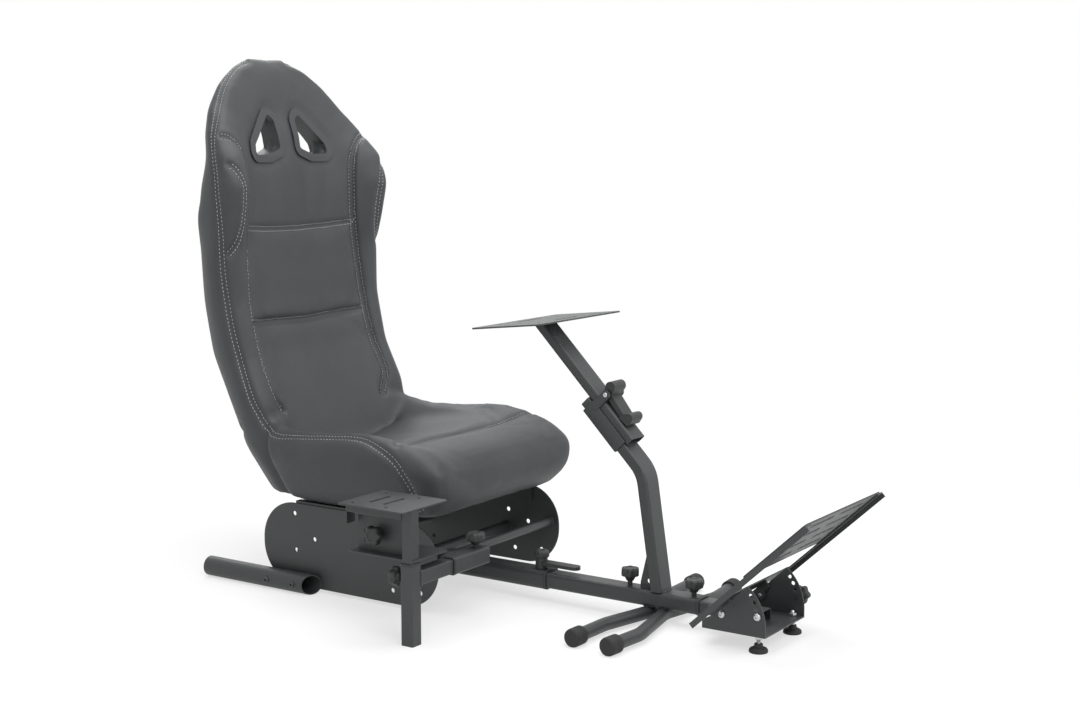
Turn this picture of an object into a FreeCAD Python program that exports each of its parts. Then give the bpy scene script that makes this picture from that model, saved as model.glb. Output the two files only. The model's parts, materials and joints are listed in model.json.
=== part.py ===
import FreeCAD, Part
import math
import os

Vec = FreeCAD.Vector
AXIS_X = Vec(1, 0, 0)
AXIS_Y = Vec(0, 1, 0)
AXIS_Z = Vec(0, 0, 1)
os.makedirs("parts", exist_ok=True)

# Sim racing cockpit, in millimetres: +X is the way the driver looks, +Y the driver's left, +Z up
# Places are from the levelling feet (x = 0), the middle plane (y = 0) and the floor (z = 0)

# Clearances
SLIDE_GAP = 0.5
PIN_GAP = 0.3
PLATE_CLEAR = 6.0
CUT_MARGIN = 20.0

# Sheet metal
SHEET = 3.0

# Main beam: sleeve, main tube inside it, pedal rail inside that
BEAM_Z = 47.0
SLEEVE_W = 50.0
SLEEVE_H = 38.0
SLEEVE_R = 10.0
SLEEVE_WALL = 2.5
SLEEVE_REAR = -1060.0
SLEEVE_FRONT = -508.0
MAIN_WALL = 2.5
MAIN_W = SLEEVE_W - 2 * (SLEEVE_WALL + SLIDE_GAP)
MAIN_H = SLEEVE_H - 2 * (SLEEVE_WALL + SLIDE_GAP)
MAIN_R = SLEEVE_R - SLEEVE_WALL
MAIN_REAR = -880.0
MAIN_FRONT = -157.0
RAIL_WALL = 2.0
RAIL_W = MAIN_W - 2 * (MAIN_WALL + SLIDE_GAP)
RAIL_H = MAIN_H - 2 * (MAIN_WALL + SLIDE_GAP)
RAIL_R = MAIN_R - MAIN_WALL
RAIL_REAR = -400.0
RAIL_FRONT = -20.0
SLEEVE_TOP = BEAM_Z + SLEEVE_H / 2
MAIN_TOP = BEAM_Z + MAIN_H / 2
MAIN_UNDER = BEAM_Z - MAIN_H / 2
RAIL_TOP = BEAM_Z + RAIL_H / 2
RAIL_UNDER = BEAM_Z - RAIL_H / 2

# Side plates and stabilisers
PLATE_OUT = 218.0
PLATE_IN = PLATE_OUT - SHEET
PLATE_REAR = -1094.0
PLATE_FRONT = -630.0
PLATE_LOW = 8.0
PLATE_HIGH = 183.0
PLATE_END_R = 84.0
PLATE_HOLE_R = 5.0
PLATE_HOLES = [(-1007, 161), (-953, 112), (-1004, 83), (-973, 31),
               (-715, 166), (-764, 120), (-711, 99), (-746, 35), (-675, 40)]
STAB_R = 21.0
STAB_WALL = 2.0
STAB_REAR = -1235.0
STAB_FRONT = -935.0
STAB_PLUG = 12.0

# Cross tubes between the side plates
CROSS_R = 12.5
CROSS_WALL = 2.0
REAR_CROSS_X = -990.0
MID_CROSS_X = -770.0
FRONT_CROSS_R = 9.0
FRONT_CROSS_X = -653.0
FRONT_CROSS_Z = 106.0

# Seat
SEAT_UNDER = 188.0
SEAT_CREASE = 0.3
SEAT_RAIL_REAR = -1005.0
SEAT_RAIL_FRONT = -700.0
SEAT_RAIL_REACH = 45.0
SEAT_RAIL_DROP = 40.0
# Back: height, x of the bolster crest, half width, x of the rear, x of the centre panel, taper to the rear
BACK_STATIONS = [
    (196.0, -1006.0, 214.0, -1104.0, -1009.0, 32.0),
    (290.0, -1050.0, 238.0, -1175.0, -1066.0, 50.0),
    (387.0, -1071.0, 245.0, -1220.0, -1112.0, 53.0),
    (480.0, -1116.0, 243.0, -1264.0, -1156.0, 50.0),
    (590.0, -1142.0, 246.0, -1286.0, -1180.0, 54.0),
    (700.0, -1146.0, 250.0, -1278.0, -1187.0, 40.0),
    (770.0, -1130.0, 254.0, -1258.0, -1190.0, 17.0),
    (840.0, -1118.0, 258.0, -1246.0, -1192.0, 22.0),
    (900.0, -1137.0, 254.0, -1240.0, -1196.0, 30.0),
    (945.0, -1178.0, 239.0, -1250.0, -1206.0, 28.0),
    (1000.0, -1212.0, 206.0, -1268.0, -1226.0, 26.0),
    (1055.0, -1234.0, 158.0, -1280.0, -1241.0, 26.0),
    (1092.0, -1248.0, 106.0, -1284.0, -1253.0, 22.0),
    (1111.0, -1260.0, 60.0, -1280.0, -1263.0, 14.0),
]
# Cushion: x, rim height, half width, pan height, underside height
PAN_STATIONS = [
    (-1080.0, 354.0, 244.0, 272.0, 192.0),
    (-1004.0, 335.0, 257.0, 282.0, SEAT_UNDER),
    (-920.0, 341.0, 261.0, 293.0, SEAT_UNDER),
    (-840.0, 348.0, 261.0, 305.0, SEAT_UNDER),
    (-780.0, 349.0, 260.0, 314.0, SEAT_UNDER),
    (-725.0, 341.0, 257.0, 314.0, SEAT_UNDER),
    (-680.0, 330.0, 252.0, 310.0, SEAT_UNDER),
    (-648.0, 318.0, 247.0, 302.0, 196.0),
    (-622.0, 304.0, 240.0, 291.0, 222.0),
    (-609.0, 290.0, 231.0, 280.0, 244.0),
]

# Harness openings in the head of the seat: core outline (y, z) and the rounding added around it
HARNESS_CORE = [(43, 975), (43, 923), (72, 912), (106, 912), (104, 922), (49, 981)]
HARNESS_OPEN = 8.0
HARNESS_LINER = 3.0
HARNESS_LIP = 17.0
HARNESS_PROUD = 4.0

# Reach knob and lever on the sleeve
REACH_X = -530.0
REACH_HUB_R = 13.0
REACH_HUB_H = 24.0
REACH_HEAD_R = 16.0
REACH_HEAD_H = 14.0
REACH_CHAMFER = 4.0
REACH_TIP_X = -438.0
LEVER_THICK = 7.0
LEVER_W = 24.0
LEVER_R = 11.5

# Front legs, flat on the floor, bent towards each other under the main tube: half plan (x, y)
CAP_R = 18.0
CAP_LENGTH = 34.0
CAP_END = 5.0
LEG_R = MAIN_UNDER - CAP_R
LEG_WALL = 2.0
LEG_BEND_R = 90.0
REAR_LEG = [(-300, 246), (-297, 129), (-267, 0)]
FRONT_LEG = [(-218, 255), (-208, 149), (-239, 0)]

# Star knobs
KNOB_R = 19.5
KNOB_H = 17.0
KNOB_HUB_R = 9.0
KNOB_STUD_R = 5.0
KNOB_LOBES = 6
TUBE_KNOB_REAR_X = -319.0
TUBE_KNOB_FRONT_X = -175.0
TUBE_KNOB_REAR_STUD = 18.0
TUBE_KNOB_FRONT_STUD = 16.0

# Wheel post: flat tube, base, bend and top in the middle plane (x, z)
POST_T = 24.0
POST_W = 48.0
POST_R = 5.0
POST_WALL = 2.0
POST_BASE = (-248.0, MAIN_TOP)
POST_BEND = (-283.6, 294.3)
POST_TOP = (-412.4, 426.0)
POST_BEND_R = 70.0
GUSSET_BACK = 46.0
GUSSET_HIGH = 82.0
GUSSET_T = 4.0
GUSSET_TOP = 4.0
GUSSET_TOE = 10.0
# Gusset holes: height above the tube, distance behind the post, radius
GUSSET_HOLES = [(14.0, 13.0, 4.5), (30.0, 10.0, 3.9), (46.0, 7.0, 3.3)]

# Wheel stem lying on the sloping part of the post, and its clamp
STEM_T = 22.0
STEM_W = 48.0
STEM_R = 6.0
STEM_WALL = 2.0
STEM_LOW = 60.0
CLAMP_LOW = 66.0
CLAMP_HIGH = 172.0
CLAMP_SIDE = 5.0
CLAMP_TOP = 5.0
CLAMP_R = 4.0
CLAMP_WRAP = 0.3
CLAMP_SLIT_R = 1.0
CLAMP_PIVOT_R = 9.0
CLAMP_PIN_R = 3.0
CLAMP_LUG_T = 5.0
CLAMP_LUG_GAP = 1.0
CLAMP_STRIP_T = 6.0
CLAMP_HANDLE_W = 40.0
CLAMP_HANDLE_T = 14.0
CLAMP_HANDLE_L = 34.0
CLAMP_HANDLE_BELOW = 7.0
CLAMP_HANDLE_R = 4.0
CLAMP_POCKET_W = 32.0
CLAMP_POCKET_T = 8.0
CLAMP_POCKET_L = 21.0
CLAMP_POCKET_R = 2.0
# Rounded lobes of the lever: place along the slope and out of it, radius
CAM_LOBE = (6.0, 15.0, 11.0)
HANDLE_LOBE = (32.0, 7.0, 8.0)

# Wheel plate
WHEEL_X = -515.5
WHEEL_Z = 577.0
WHEEL_TILT = 6.2
WHEEL_W = 306.0
WHEEL_D = 162.0
WHEEL_CORNER = 10.0
WHEEL_HOLE_R = 3.3
WHEEL_HOLE_Y = 100.0
WHEEL_HOLE_X = 45.0
WHEEL_SLOT_L = 78.0
WHEEL_SLOT_W = 9.0

# Pedal tray
TRAY_OUT = 84.0
TRAY_REAR = -112.0
TRAY_FRONT = 19.0
TRAY_LOW = RAIL_UNDER - SHEET
PEDAL_ANGLE = 43.0
PIVOT_X = -71.0
PIVOT_Z = 63.0
PIVOT_R = 4.0
PIVOT_DROP = 12.0
EAR_APEX = 80.0
EAR_BACK = 14.0
EAR_FRONT_H = 14.0
EAR_REAR_H = 16.0
EAR_BULGE = Vec(9, 0, 5)
ARC_R = 73.5
ARC_ANGLES = [5.0, 16.0, 26.0, 37.0]
ARC_HOLE_R = 4.0
FOOT_Y = 72.0
FOOT_R = 18.0
FOOT_H = 10.0
FOOT_STUD_R = 4.0
FOOT_STUD_UP = 12.0
FOOT_COLLAR_H = 7.0
FOOT_NUT_H = 6.0
BOLT_HEAD_H = 5.0
BOLT_END = 3.0
TILT_KNOB_STUD = 10.0

# Pedal deck: two angle arms, a slotted panel on their upper half, a hinge strip at their foot
PEDAL_W = 340.0
PEDAL_L = 310.0
PEDAL_BELOW = 16.0
PEDAL_FLANGE = 11.0
PEDAL_LEDGE = 22.0
PEDAL_CORNER = 8.0
PEDAL_PANEL_LOW = 128.0
PEDAL_EDGE = 4.0
PEDAL_STRIP_LOW = 4.0
PEDAL_STRIP_HIGH = 40.0
PEDAL_STRIP_R = 5.0
PEDAL_LUG_T = 4.0
PEDAL_LUG_R = 10.0
PEDAL_LUG_L = 28.0
PEDAL_LUG_GAP = 2.0
PEDAL_HOLE_R = 3.3
PEDAL_HOLE_Y = 134.0
PEDAL_HOLE_S = [168.0, 252.0]
PEDAL_SLOT_S = [158.0, 196.0, 234.0, 272.0]
PEDAL_SLOT_Y = 64.0
PEDAL_SLOT_L = 100.0
PEDAL_SLOT_W = 10.0

# Shifter arm, leg and plates on the driver's right
LEG_SQ = 28.0
LEG_SQ_WALL = 2.0
LEG_SQ_R = 3.0
LEG_PLUG = 5.0
LEG_KNOB_STUD = 12.0
SHIFT_X = -559.0
SHIFT_Y = -394.5
SHIFT_LEG_TOP = 155.0
ARM_Z = 127.0
ARM_END_Y = -186.0
SHIFT_SLEEVE_OUT = -279.0
SHIFT_SLEEVE_IN = -165.0
SHIFT_SLEEVE_WALL = 2.5
SHIFT_SLEEVE_R = 5.0
SLEEVE_KNOB_STUD = 14.0
CLAMP_Y = -190.0
CLAMP_LONG = 30.0
HOOK_WALL = 7.0
HOOK_SHARE = 0.4
STEM_SQ = LEG_SQ - 2 * (LEG_SQ_WALL + SLIDE_GAP)
STEM_SQ_R = 2.0
STEM_SQ_LOW = 40.0
SHELF_Z = 161.0
SHELF_INSET = 30.0
SHIFT_PLATE_Z = 258.0
SHIFT_REAR = -702.0
SHIFT_FRONT = -545.0
SHIFT_NEAR = -435.0
SHIFT_FAR = -296.0
SHIFT_CORNER = 8.0
SHIFT_HOLE_R = 3.3
SHIFT_HOLES_X = [-680.0, -600.0]
SHIFT_HOLES_Y = [-415.0, -316.0]
SHIFT_SLOTS_X = [-655.0, -620.0]
SHIFT_SLOT_W = 8.0
SHIFT_SLOT_L = 60.0
SHIFT_RAIL_W = 24.0
SHIFT_RAIL_H = 20.0
SHIFT_RAIL_R = 3.0
SHIFT_RAIL_WALL = 2.0
SHIFT_TAB = 42.0
WEB_INSET = 8.0
WEB_GAP = 12.0
WEB_WINDOW = [(22, 18), (50, 18), (22, 44)]
WEB_KNOB_STUD = 10.0


def rounded_wire(width, height, radius):
    k = radius * (1 - math.sqrt(0.5))
    x = width / 2
    y = height / 2
    r = radius
    edges = [
        Part.makeLine(Vec(-x + r, -y, 0), Vec(x - r, -y, 0)),
        Part.Arc(Vec(x - r, -y, 0), Vec(x - k, -y + k, 0), Vec(x, -y + r, 0)).toShape(),
        Part.makeLine(Vec(x, -y + r, 0), Vec(x, y - r, 0)),
        Part.Arc(Vec(x, y - r, 0), Vec(x - k, y - k, 0), Vec(x - r, y, 0)).toShape(),
        Part.makeLine(Vec(x - r, y, 0), Vec(-x + r, y, 0)),
        Part.Arc(Vec(-x + r, y, 0), Vec(-x + k, y - k, 0), Vec(-x, y - r, 0)).toShape(),
        Part.makeLine(Vec(-x, y - r, 0), Vec(-x, -y + r, 0)),
        Part.Arc(Vec(-x, -y + r, 0), Vec(-x + k, -y + k, 0), Vec(-x + r, -y, 0)).toShape(),
    ]
    return Part.Wire(edges)


def placed(shape, origin, x_dir, y_dir):
    z_dir = x_dir.cross(y_dir)
    m = FreeCAD.Matrix(x_dir.x, y_dir.x, z_dir.x, origin.x,
                       x_dir.y, y_dir.y, z_dir.y, origin.y,
                       x_dir.z, y_dir.z, z_dir.z, origin.z,
                       0, 0, 0, 1)
    out = shape.copy()
    out.Placement = FreeCAD.Placement(m).multiply(out.Placement)
    return out


def bar(width, height, radius, length):
    return Part.Face(rounded_wire(width, height, radius)).extrude(Vec(0, 0, length))


def tube(width, height, radius, wall, length):
    inner_r = max(radius - wall, 0.6)
    hollow = bar(width - 2 * wall, height - 2 * wall, inner_r, length + 2)
    hollow.translate(Vec(0, 0, -1))
    return bar(width, height, radius, length).cut(hollow)


def along_x(shape, x, y, z):
    return placed(shape, Vec(x, y, z), AXIS_Y, AXIS_Z)


def along_y(shape, x, y, z):
    return placed(shape, Vec(x, y, z), AXIS_Z, AXIS_X)


def block(x0, x1, y0, y1, z0, z1):
    return Part.makeBox(x1 - x0, y1 - y0, z1 - z0, Vec(x0, y0, z0))


def rod(radius, start, end):
    return Part.makeCylinder(radius, (end - start).Length, start, end - start)


def pipe(radius, wall, start, end):
    return rod(radius, start, end).cut(rod(radius - wall, start, end))


def mirrored(shape):
    return shape.mirror(Vec(0, 0, 0), AXIS_Y)


def bent_path(points, radius):
    edges = []
    start = points[0]
    for i in range(1, len(points) - 1):
        corner = points[i]
        a = (points[i - 1] - corner).normalize()
        b = (points[i + 1] - corner).normalize()
        half = a.getAngle(b) / 2
        p0 = corner + a * (radius / math.tan(half))
        p1 = corner + b * (radius / math.tan(half))
        middle = corner + (a + b).normalize() * (radius / math.sin(half) - radius)
        edges.append(Part.makeLine(start, p0))
        edges.append(Part.Arc(p0, middle, p1).toShape())
        start = p1
    edges.append(Part.makeLine(start, points[-1]))
    return Part.Wire(edges)


def swept(path, section):
    return path.makePipeShell([section], True, False)


def polygon_face(points):
    return Part.Face(Part.makePolygon(list(points) + [points[0]]))


def sheet_xz(points, y0, y1):
    face = polygon_face([Vec(p[0], y0, p[1]) for p in points])
    return face.extrude(Vec(0, y1 - y0, 0))


def slot(x_size, y_size, depth):
    return bar(x_size, y_size, min(x_size, y_size) / 2 - 0.05, depth)


def star_knob(base, direction, stud):
    out = direction * 1.0
    out.normalize()
    foot = base + out * stud
    head = Part.makeCylinder(KNOB_R, KNOB_H, foot, out)
    side = out.cross(AXIS_X if abs(out.x) < 0.9 else AXIS_Z)
    side.normalize()
    other = out.cross(side)
    for i in range(KNOB_LOBES):
        a = 2 * math.pi * i / KNOB_LOBES
        at = foot + (side * math.cos(a) + other * math.sin(a)) * (KNOB_R * 1.18)
        head = head.cut(Part.makeCylinder(KNOB_R * 0.36, KNOB_H, at, out))
    hub = Part.makeCone(KNOB_HUB_R * 0.8, KNOB_HUB_R * 1.3, stud * 0.5, base + out * (stud * 0.5), out)
    stem = Part.makeCylinder(KNOB_STUD_R, stud + 1, base, out)
    return head.fuse(hub).fuse(stem).removeSplitter()


nodes = {}

# Main beam
nodes["rear_sleeve"] = along_x(tube(SLEEVE_W, SLEEVE_H, SLEEVE_R, SLEEVE_WALL, SLEEVE_FRONT - SLEEVE_REAR),
                               SLEEVE_REAR, 0, BEAM_Z)
nodes["main_tube"] = along_x(tube(MAIN_W, MAIN_H, MAIN_R, MAIN_WALL, MAIN_FRONT - MAIN_REAR),
                             MAIN_REAR, 0, BEAM_Z)
nodes["pedal_rail"] = along_x(tube(RAIL_W, RAIL_H, RAIL_R, RAIL_WALL, RAIL_FRONT - RAIL_REAR),
                              RAIL_REAR, 0, BEAM_Z)

# Side plates with their fixing holes
plate_face = Part.Face(rounded_wire(PLATE_FRONT - PLATE_REAR, PLATE_HIGH - PLATE_LOW, PLATE_END_R))
plate_mid = Vec((PLATE_FRONT + PLATE_REAR) / 2, -PLATE_IN, (PLATE_HIGH + PLATE_LOW) / 2)
side_plate = placed(plate_face.extrude(Vec(0, 0, SHEET)), plate_mid, AXIS_X, AXIS_Z)
for x, z in PLATE_HOLES:
    side_plate = side_plate.cut(rod(PLATE_HOLE_R, Vec(x, -PLATE_OUT - 1, z), Vec(x, -PLATE_IN + 1, z)))
nodes["right_side_plate"] = side_plate
nodes["left_side_plate"] = mirrored(side_plate)

# Stabiliser tubes on the floor outside the plates, front end cut at a slant
stab_y = -PLATE_OUT - STAB_R
stab_wedge = [Vec(STAB_FRONT - STAB_R, stab_y - STAB_R - 1, -1),
              Vec(STAB_FRONT + 1, stab_y - STAB_R - 1, -1),
              Vec(STAB_FRONT + 1, stab_y + STAB_R + 1, -1)]
stabiliser = pipe(STAB_R, STAB_WALL, Vec(STAB_REAR, stab_y, STAB_R), Vec(STAB_FRONT, stab_y, STAB_R))
plug = rod(STAB_R - STAB_WALL, Vec(STAB_REAR, stab_y, STAB_R), Vec(STAB_REAR + STAB_PLUG, stab_y, STAB_R))
stabiliser = stabiliser.cut(polygon_face(stab_wedge).extrude(Vec(0, 0, 2 * STAB_R + 2))).fuse(plug)
nodes["right_stabiliser"] = stabiliser
nodes["left_stabiliser"] = mirrored(stabiliser)

# Cross tubes
for name, x in (("rear_cross_tube", REAR_CROSS_X), ("mid_cross_tube", MID_CROSS_X)):
    z = SLEEVE_TOP + CROSS_R
    nodes[name] = pipe(CROSS_R, CROSS_WALL, Vec(x, -PLATE_IN, z), Vec(x, PLATE_IN, z))
nodes["front_cross_tube"] = pipe(FRONT_CROSS_R, CROSS_WALL, Vec(FRONT_CROSS_X, -PLATE_IN, FRONT_CROSS_Z),
                                 Vec(FRONT_CROSS_X, PLATE_IN, FRONT_CROSS_Z))


# Seat
def closed_curve(half):
    points = list(half) + [Vec(p.x, -p.y, p.z) for p in reversed(half[1:-1])]
    curve = Part.BSplineCurve()
    curve.interpolate(points, PeriodicFlag=True)
    return Part.Wire([curve.toShape()])


def back_section(z, crest, width, rear, panel, taper):
    depth = crest - rear
    rise = crest - panel
    return closed_curve([
        Vec(panel, 0, z),
        Vec(panel + rise * 0.06, width * 0.45, z),
        Vec(panel + rise * 0.5, width * 0.71, z),
        Vec(crest, width * 0.88, z),
        Vec(crest - depth * 0.2, width, z),
        Vec(crest - depth * 0.6, width - taper * 0.3, z),
        Vec(rear + depth * 0.09, width - taper, z),
        Vec(rear + depth * 0.01, width * 0.4, z),
        Vec(rear, 0, z),
    ])


def pan_section(x, rim, width, pan, under):
    h = rim - under
    return closed_curve([
        Vec(x, 0, pan),
        Vec(x, width * 0.5, pan + 0.08 * (rim - pan)),
        Vec(x, width * 0.75, pan + 0.5 * (rim - pan)),
        Vec(x, width * 0.91, rim),
        Vec(x, width, rim - h * 0.17),
        Vec(x, width - h * 0.05, rim - h * 0.55),
        Vec(x, width - h * 0.16, rim - h * 0.88),
        Vec(x, width * 0.78, under),
        Vec(x, width * 0.4, under),
        Vec(x, 0, under),
    ])


def harness_prism(rounding, x0, x1):
    core = Part.makePolygon([Vec(x0, p[0], p[1]) for p in HARNESS_CORE + HARNESS_CORE[:1]])
    return Part.Face(core.makeOffset2D(rounding)).extrude(Vec(x1 - x0, 0, 0))


shell = Part.makeLoft([back_section(*s) for s in BACK_STATIONS], True, True)
seat_rear = min(s[3] for s in BACK_STATIONS) - CUT_MARGIN
head_front = max(s[1] for s in BACK_STATIONS[6:]) + HARNESS_PROUD
opening = harness_prism(HARNESS_OPEN, seat_rear, head_front)
cutout = harness_prism(HARNESS_OPEN + HARNESS_LINER, seat_rear, head_front)
lip = harness_prism(HARNESS_OPEN + HARNESS_LIP, seat_rear, head_front)
proud = shell.copy()
proud.translate(Vec(HARNESS_PROUD, 0, 0))


def bezel(hole, around, edge):
    return edge.common(proud).cut(shell).fuse(around.common(shell)).cut(hole)


nodes["seat_back"] = shell.cut(cutout).cut(mirrored(cutout))
nodes["left_harness_bezel"] = bezel(opening, cutout, lip)
nodes["right_harness_bezel"] = bezel(mirrored(opening), mirrored(cutout), mirrored(lip))

# The cushion stops against the foot of the back
pan_loft = Part.makeLoft([pan_section(*s) for s in PAN_STATIONS], True, True)
crease = []
for station in BACK_STATIONS[:4]:
    front = max(p.x for p in back_section(*station).discretize(400))
    crease.append((front + SEAT_CREASE, station[0]))
behind = [(crease[0][0], SEAT_UNDER - CUT_MARGIN)] + crease + [(seat_rear, crease[-1][1])]
behind.append((seat_rear, SEAT_UNDER - CUT_MARGIN))
pan_side = max(s[2] for s in PAN_STATIONS) + CUT_MARGIN
nodes["seat_cushion"] = pan_loft.cut(sheet_xz(behind, -pan_side, pan_side))

# Angle rails that hold the seat between the side plates
rail_outline = [(-PLATE_IN, SEAT_UNDER - SEAT_RAIL_DROP), (-PLATE_IN + SHEET, SEAT_UNDER - SEAT_RAIL_DROP),
                (-PLATE_IN + SHEET, SEAT_UNDER - SHEET), (-PLATE_IN + SEAT_RAIL_REACH, SEAT_UNDER - SHEET),
                (-PLATE_IN + SEAT_RAIL_REACH, SEAT_UNDER), (-PLATE_IN, SEAT_UNDER)]
rail_face = polygon_face([Vec(SEAT_RAIL_REAR, p[0], p[1]) for p in rail_outline])
seat_rail = rail_face.extrude(Vec(SEAT_RAIL_FRONT - SEAT_RAIL_REAR, 0, 0)).cut(pan_loft)
nodes["right_seat_rail"] = seat_rail
nodes["left_seat_rail"] = mirrored(seat_rail)

# Reach lever on top of the sleeve
hub_top = SLEEVE_TOP + REACH_HUB_H
hub = rod(REACH_HUB_R, Vec(REACH_X, 0, SLEEVE_TOP), Vec(REACH_X, 0, hub_top))
head = rod(REACH_HEAD_R, Vec(REACH_X, 0, hub_top), Vec(REACH_X, 0, hub_top + REACH_HEAD_H))
head = head.makeChamfer(REACH_CHAMFER, [head.Edges[0], head.Edges[2]])
nodes["reach_knob"] = hub.fuse(head).removeSplitter()
lever_low = SLEEVE_TOP + REACH_HUB_H * 0.35
lever_face = Part.Face(rounded_wire(REACH_TIP_X - REACH_X, LEVER_W, LEVER_R))
lever = lever_face.extrude(Vec(0, 0, LEVER_THICK))
lever.translate(Vec((REACH_TIP_X + REACH_X) / 2, 0, lever_low))
nodes["reach_lever"] = lever.cut(hub)


# Front legs with end caps
def leg_parts(plan):
    out = [Vec(p[0], -p[1], CAP_R) for p in plan]
    back = [Vec(p[0], p[1], CAP_R) for p in plan]
    points = out + list(reversed(back))[1:]
    end_dir = (points[0] - points[1]).normalize()
    side = AXIS_Z.cross(end_dir).normalize()
    inset = end_dir * CAP_END
    points[0] = points[0] - inset
    points[-1] = points[-1] + Vec(-inset.x, inset.y, 0)
    path = bent_path(points, LEG_BEND_R)
    outer = Part.Wire([Part.makeCircle(LEG_R, points[0], end_dir)])
    inner = Part.Wire([Part.makeCircle(LEG_R - LEG_WALL, points[0], end_dir)])
    leg = swept(path, outer).cut(swept(path, inner))
    tip = out[0]
    cap = rod(CAP_R, tip - end_dir * CAP_LENGTH, tip)
    cap = cap.cut(rod(LEG_R, tip - end_dir * (CAP_LENGTH + 1), tip - inset))
    return leg, Part.makeCompound([cap, mirrored(cap)])


nodes["rear_leg"], nodes["rear_leg_caps"] = leg_parts(REAR_LEG)
nodes["front_leg"], nodes["front_leg_caps"] = leg_parts(FRONT_LEG)

# Star knobs on the main tube
nodes["tube_knob_rear"] = star_knob(Vec(TUBE_KNOB_REAR_X, 0, MAIN_TOP), AXIS_Z, TUBE_KNOB_REAR_STUD)
nodes["tube_knob_front"] = star_knob(Vec(TUBE_KNOB_FRONT_X, 0, MAIN_TOP), AXIS_Z, TUBE_KNOB_FRONT_STUD)

# Wheel post, cut flat where it stands on the main tube
post_u = Vec(POST_TOP[0] - POST_BEND[0], 0, POST_TOP[1] - POST_BEND[1]).normalize()
post_n = Vec(post_u.z, 0, -post_u.x)
post_low = Vec(POST_BASE[0] - POST_BEND[0], 0, POST_BASE[1] - POST_BEND[1]).normalize()
post_start = Vec(POST_BASE[0], 0, POST_BASE[1]) + post_low * POST_T
post_points = [post_start, Vec(POST_BEND[0], 0, POST_BEND[1]), Vec(POST_TOP[0], 0, POST_TOP[1])]
post_path = bent_path(post_points, POST_BEND_R)
post_side = AXIS_Y.cross(post_low * -1.0)
post_outer = placed(rounded_wire(POST_T, POST_W, POST_R), post_start, post_side, AXIS_Y)
post_inner = placed(rounded_wire(POST_T - 2 * POST_WALL, POST_W - 2 * POST_WALL, POST_R - POST_WALL),
                    post_start, post_side, AXIS_Y)
post = swept(post_path, post_outer).cut(swept(post_path, post_inner))
below = block(POST_BASE[0] - POST_W, POST_BASE[0] + POST_W, -POST_W, POST_W, MAIN_TOP - POST_W, MAIN_TOP)
nodes["wheel_post"] = post.cut(below)

# Gusset behind the post with a row of round holes
foot_x = POST_BASE[0] - GUSSET_BACK
lean = (POST_BEND[0] - POST_BASE[0]) / (POST_BEND[1] - POST_BASE[1])
high_x = POST_BASE[0] + lean * GUSSET_HIGH
gusset_points = [(foot_x, MAIN_TOP), (POST_BASE[0], MAIN_TOP), (high_x, MAIN_TOP + GUSSET_HIGH),
                 (high_x - POST_T / 2 - GUSSET_TOP, MAIN_TOP + GUSSET_HIGH), (foot_x, MAIN_TOP + GUSSET_TOE)]
gusset = sheet_xz(gusset_points, -GUSSET_T / 2, GUSSET_T / 2)
for up, back, radius in GUSSET_HOLES:
    z = MAIN_TOP + up
    x = POST_BASE[0] + lean * up - POST_T / 2 - back
    gusset = gusset.cut(rod(radius, Vec(x, -GUSSET_T, z), Vec(x, GUSSET_T, z)))
post_fill = swept(post_path, post_outer)
nodes["post_gusset"] = gusset.cut(post_fill)


# Wheel stem and plate: t runs up the slope from the bend, q out of the post's middle
def slope(t, q, y=0.0):
    return Vec(POST_BEND[0], y, POST_BEND[1]) + post_u * t + post_n * q


right = AXIS_Y * -1.0
stem_q = POST_T / 2 + SLIDE_GAP + STEM_T / 2
tilt = math.radians(WHEEL_TILT)
plate_x = Vec(math.cos(tilt), 0, math.sin(tilt))
plate_n = Vec(-math.sin(tilt), 0, math.cos(tilt))
plate_under = Vec(WHEEL_X, 0, WHEEL_Z)
wheel_plate = placed(bar(WHEEL_D, WHEEL_W, WHEEL_CORNER, SHEET), plate_under, plate_x, AXIS_Y)
for sx in (-1, 1):
    for sy in (-1, 1):
        at = plate_under + plate_x * (sx * WHEEL_HOLE_X) + AXIS_Y * (sy * WHEEL_HOLE_Y)
        wheel_plate = wheel_plate.cut(rod(WHEEL_HOLE_R, at - plate_n, at + plate_n * (SHEET + 1)))
    hole = slot(WHEEL_SLOT_W, WHEEL_SLOT_L, SHEET + 2)
    at = plate_under + plate_x * (sx * WHEEL_HOLE_X) - plate_n
    wheel_plate = wheel_plate.cut(placed(hole, at, plate_x, AXIS_Y))
nodes["wheel_plate"] = wheel_plate
stem_long = (plate_under - slope(STEM_LOW, stem_q)).Length + STEM_W
stem = placed(tube(STEM_W, STEM_T, STEM_R, STEM_WALL, stem_long), slope(STEM_LOW, stem_q), right, post_n)
above = placed(Part.makeBox(WHEEL_D * 2, WHEEL_W, STEM_W * 4, Vec(-WHEEL_D, -WHEEL_W / 2, 0)),
               plate_under, plate_x, AXIS_Y)
nodes["wheel_stem"] = stem.cut(above)

# Clamp that straddles the post and the stem
clamp_w = STEM_W + 2 * (SLIDE_GAP + CLAMP_SIDE)
clamp_q0 = -POST_T * CLAMP_WRAP
clamp_q1 = POST_T / 2 + STEM_T + 2 * SLIDE_GAP + CLAMP_TOP
clamp_long = CLAMP_HIGH - CLAMP_LOW
clamp = placed(bar(clamp_w, clamp_q1 - clamp_q0, CLAMP_R, clamp_long),
               slope(CLAMP_LOW, (clamp_q0 + clamp_q1) / 2), right, post_n)
stem_way = placed(bar(STEM_W + 2 * SLIDE_GAP, STEM_T + 2 * SLIDE_GAP, STEM_R, clamp_long + 2),
                  slope(CLAMP_LOW - 1, stem_q), right, post_n)
post_way = placed(bar(POST_W, POST_T, POST_R, clamp_long + 2 + POST_T), slope(CLAMP_LOW - 1, 0), right, post_n)
slit = bar(POST_W - 2 * POST_R, POST_T, CLAMP_SLIT_R, clamp_long + 2)
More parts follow.
